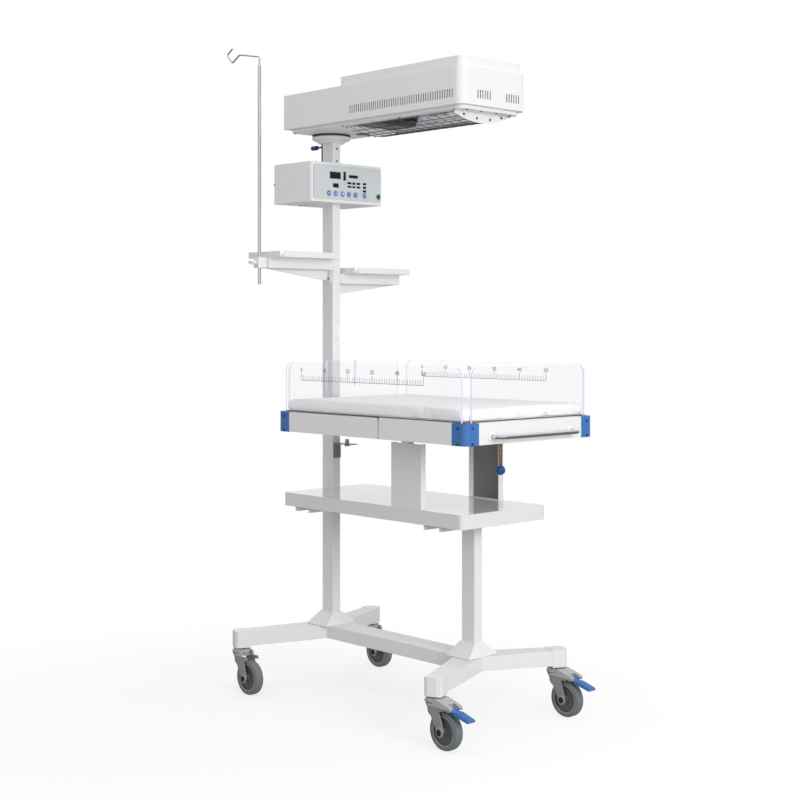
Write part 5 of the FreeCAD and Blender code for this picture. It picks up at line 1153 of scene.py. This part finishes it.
def makeCoil():
    bm = bmesh.new()
    points = []
    for step in range(coil["points"]):
        x = coil["start"] + coil["length"] * step / (coil["points"] - 1)
        angle = step * coil["turn"]
        y = coil["side"] + coil["radius"] * math.cos(angle)
        points.append((x, y, coil["height"] + coil["radius"] * math.sin(angle)))
    addTube(bm, points, coil["wire"], 5)
    finishMesh("heaterCoil", bm, steel, "hood")


def makeClip():
    bm = bmesh.new()
    addTube(bm, clip["strap"], clip["radius"], 10)
    addBox(bm, clip["low"], clip["high"], clip["bevel"])
    finishMesh("cableClip", bm, slots["black_plastic"], "hood")


makeHousing()
makeCoil()
makeClip()
ringLow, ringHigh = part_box("swivel_ring")
swivel = {"x": (ringLow.x + ringHigh.x) / 2, "feltSeat": 1.6611, "bandSeat": 1.6630,
          "feltShade": [(0.040, 0.0), (0.0572, 0.0), (0.0574, 0.0018), (0.040, 0.0018), (0.040, 0.0)],
          "band": [(0.0560, 0.0), (0.0576, 0.0), (0.0577, 0.0042), (0.0560, 0.0042), (0.0560, 0.0)]}
# Painted shade: a brown felt ring in the gap and a band over the flange's side draw the gap's shadow band
makeLathe("swivelFelt", swivel["feltShade"], (swivel["x"], 0, swivel["feltSeat"]), up, feltShade, "stand", 72)
makeLathe("swivelBand", swivel["band"], (swivel["x"], 0, swivel["bandSeat"]), up, feltShade, "hood", 72)

grommet = {"centre": (-0.215, 0.055),
           "profile": [(0.0195, -0.0004), (0.0195, 0.0022), (0.0210, 0.0022), (0.0228, 0.0006),
                       (0.0230, -0.0004), (0.0195, -0.0004)]}
grommetSeat = (*grommet["centre"], panLow.z)
makeLathe("panGrommet", grommet["profile"], grommetSeat, down, slots["caster_grey"], "hood", 48)
print("hood made")


# Uprights: painted shade, a dark skin on their inner faces under the bed

upright = {"lowX": 0.150, "highX": 0.259, "lowZ": 0.5955, "highZ": 0.768, "skin": 0.0003,
           "probe": (0.2, 0.05, 0.66)}


def makeUndercoat():
    bm = bmesh.new()
    x, y, z = upright["probe"]
    for side in (-1, 1):
        face = faceOf("bed_uprights", (x, side * y, z), (0, side, 0)).y
        ends = sorted((face, face - side * upright["skin"]))
        addBox(bm, (upright["lowX"], ends[0], upright["lowZ"]), (upright["highX"], ends[1], upright["highZ"]))
    finishMesh("uprightUndercoat", bm, uprightShade, "stand", smooth=False)


# Rosettes behind the two ends of the foot handle

rosette = {"face": 0.5172, "half": 0.155, "height": 0.805,
           "profile": [(0.0066, 0.0), (0.0135, 0.0), (0.0142, 0.0008), (0.0138, 0.0022), (0.0105, 0.0040),
                       (0.0066, 0.0046), (0.0066, 0.0)]}


def makeRosettes():
    bm = bmesh.new()
    for side in (-1, 1):
        spot = (rosette["face"], side * rosette["half"], rosette["height"])
        addLathe(bm, rosette["profile"], aimed(spot, ahead), 40)
    finishMesh("handleRosettes", bm, slots["white_plastic"], "bed")


makeUndercoat()
makeRosettes()
print("uprights and handle made")


# Stage: floor, world, lights, dark cards, camera

studio = {"floorRadius": 9.0, "fade": (0.35, 1.5), "middle": (-0.15, -0.45, 0.0), "diffuse": 0.30,
          "glow": 0.695, "bounce": 0.45, "glossyLoss": 0.55, "ambient": 0.66, "tint": (0.985, 0.985, 1.0, 1)}


def mixShaders(tree, factor, first, second):
    return addNode(tree, "ShaderNodeMixShader", {0: factor, 1: first, 2: second})[0]


def makeFloor():
    bm = bmesh.new()
    bmesh.ops.create_circle(bm, cap_ends=True, segments=64, radius=studio["floorRadius"])
    material, tree = newMaterial("floorShade", (1, 1, 1), 1.0)[:2]
    floor = finishMesh("floor", bm, material, None, smooth=False)
    tree.nodes.remove(tree.nodes["Principled BSDF"])
    grey = (studio["diffuse"], studio["diffuse"], studio["diffuse"], 1)
    diffuse = addNode(tree, "ShaderNodeBsdfDiffuse", {"Color": grey})[0]
    glow = addNode(tree, "ShaderNodeEmission", {"Strength": studio["glow"]})[0]
    lit = addNode(tree, "ShaderNodeAddShader", {0: diffuse, 1: glow})[0]
    plain = addNode(tree, "ShaderNodeEmission", {"Strength": 1.0})[0]
    away = addVectorMath(tree, "SUBTRACT", objectSpace(tree), studio["middle"])
    reach = addVectorMath(tree, "LENGTH", away)
    seenFloor = mixShaders(tree, mapRange(tree, reach, studio["fade"], smooth=True), lit, plain)
    rays = addNode(tree, "ShaderNodeLightPath")
    loss = addMath(tree, "MULTIPLY", rays["Is Glossy Ray"], studio["glossyLoss"])
    strength = addMath(tree, "MULTIPLY", addMath(tree, "SUBTRACT", 1.0, loss), studio["bounce"])
    bounce = addNode(tree, "ShaderNodeEmission", {"Strength": strength})[0]
    seen = addMath(tree, "MAXIMUM", rays["Is Camera Ray"], rays["Is Transmission Ray"])
    tree.links.new(mixShaders(tree, seen, bounce, seenFloor), tree.nodes["Material Output"].inputs["Surface"])


# Bright metal mirrors a white ceiling and two white sides, with a darker gap between them

card = {"high": (0.08, 0.45), "acrossX": 0.73, "acrossY": 0.68, "edge": (0.35, 0.6), "gap": 0.25}


def makeWorld():
    world = bpy.data.worlds.new("studio")
    scene.world = world
    world.use_nodes = True
    tree = world.node_tree
    ambient = tree.nodes["Background"]
    ambient.inputs["Color"].default_value = studio["tint"]
    ambient.inputs["Strength"].default_value = studio["ambient"]
    plain = addNode(tree, "ShaderNodeBackground", {"Color": (1, 1, 1, 1), "Strength": 1.0})[0]
    rays = addNode(tree, "ShaderNodeLightPath")
    seen = addMath(tree, "MAXIMUM", rays["Is Camera Ray"], rays["Is Glossy Ray"])
    seen = addMath(tree, "MAXIMUM", seen, rays["Is Transmission Ray"])
    mix = mixShaders(tree, seen, ambient.outputs[0], plain)
    generated = addNode(tree, "ShaderNodeTexCoord")["Generated"]
    direction = addNode(tree, "ShaderNodeSeparateXYZ", {"Vector": generated})
    high = mapRange(tree, direction["Z"], card["high"], smooth=True)
    aside = addMath(tree, "SUBTRACT", addMath(tree, "MULTIPLY", direction["X"], card["acrossX"]),
                    addMath(tree, "MULTIPLY", direction["Y"], card["acrossY"]))
    strips = mapRange(tree, addMath(tree, "ABSOLUTE", aside), card["edge"], (card["gap"], 1.0), smooth=True)
    bright = addMath(tree, "MAXIMUM", high, strips)
    cards = addNode(tree, "ShaderNodeBackground", {"Color": (1, 1, 1, 1), "Strength": bright})[0]
    clear = addMath(tree, "SUBTRACT", 1.0, rays["Is Transmission Ray"])
    mirrored = addMath(tree, "MULTIPLY", rays["Is Glossy Ray"], clear)
    tree.links.new(mixShaders(tree, mirrored, mix, cards), tree.nodes["World Output"].inputs["Surface"])


def addLight(name, spot, target, size, power):
    data = bpy.data.lights.new(name, "AREA")
    data.shape = "DISK"
    data.size = size
    data.energy = power
    light = bpy.data.objects.new(name, data)
    scene.collection.objects.link(light)
    light.location = spot
    light.rotation_mode = "QUATERNION"
    light.rotation_quaternion = (Vector(target) - Vector(spot)).to_track_quat("-Z", "Y")
    light.visible_glossy = False
    light.visible_camera = False


# A dark card that only bright metal sees, as a photographer hangs beside chrome

def addFlag(name, centre, width, height, facing):
    bm = bmesh.new()
    matrix = aimed(centre, facing) @ Matrix.Diagonal((width, height, 1, 1))
    bmesh.ops.create_grid(bm, x_segments=1, y_segments=1, size=0.5, matrix=matrix)
    flag = finishMesh(name, bm, slots["black_plastic"], None, smooth=False)
    for ray in ("camera", "diffuse", "shadow", "transmission", "volume_scatter"):
        setattr(flag, "visible_" + ray, False)


makeFloor()
makeWorld()
addLight("footKey", (3.6, -0.7, 1.6), (0.0, 0.0, 0.8), 1.8, 68.0)
addLight("topFill", (0.4, -1.0, 4.6), (0.0, 0.0, 0.8), 2.5, 26.0)
addFlag("lowFlag", (3.2, -1.2, 0.35), 2.6, 0.5, (-1, 0.3, 0.1))
addFlag("sideFlag", (1.0, -3.6, 1.1), 0.5, 2.4, (-0.2, 1, 0))

view = {"spot": (3.1046, -2.9012, 1.0950), "tilt": 90, "turn": 46.863, "lens": 66.08, "sensor": 36,
        "shift": -0.0955}
camera = bpy.data.objects.new("camera", bpy.data.cameras.new("camera"))
scene.collection.objects.link(camera)
camera.location = view["spot"]
camera.rotation_euler = (math.radians(view["tilt"]), 0, math.radians(view["turn"]))
camera.data.lens = view["lens"]
camera.data.sensor_width = view["sensor"]
camera.data.shift_y = view["shift"]
scene.camera = camera
scene.view_settings.view_transform = "Standard"
print("stage made")
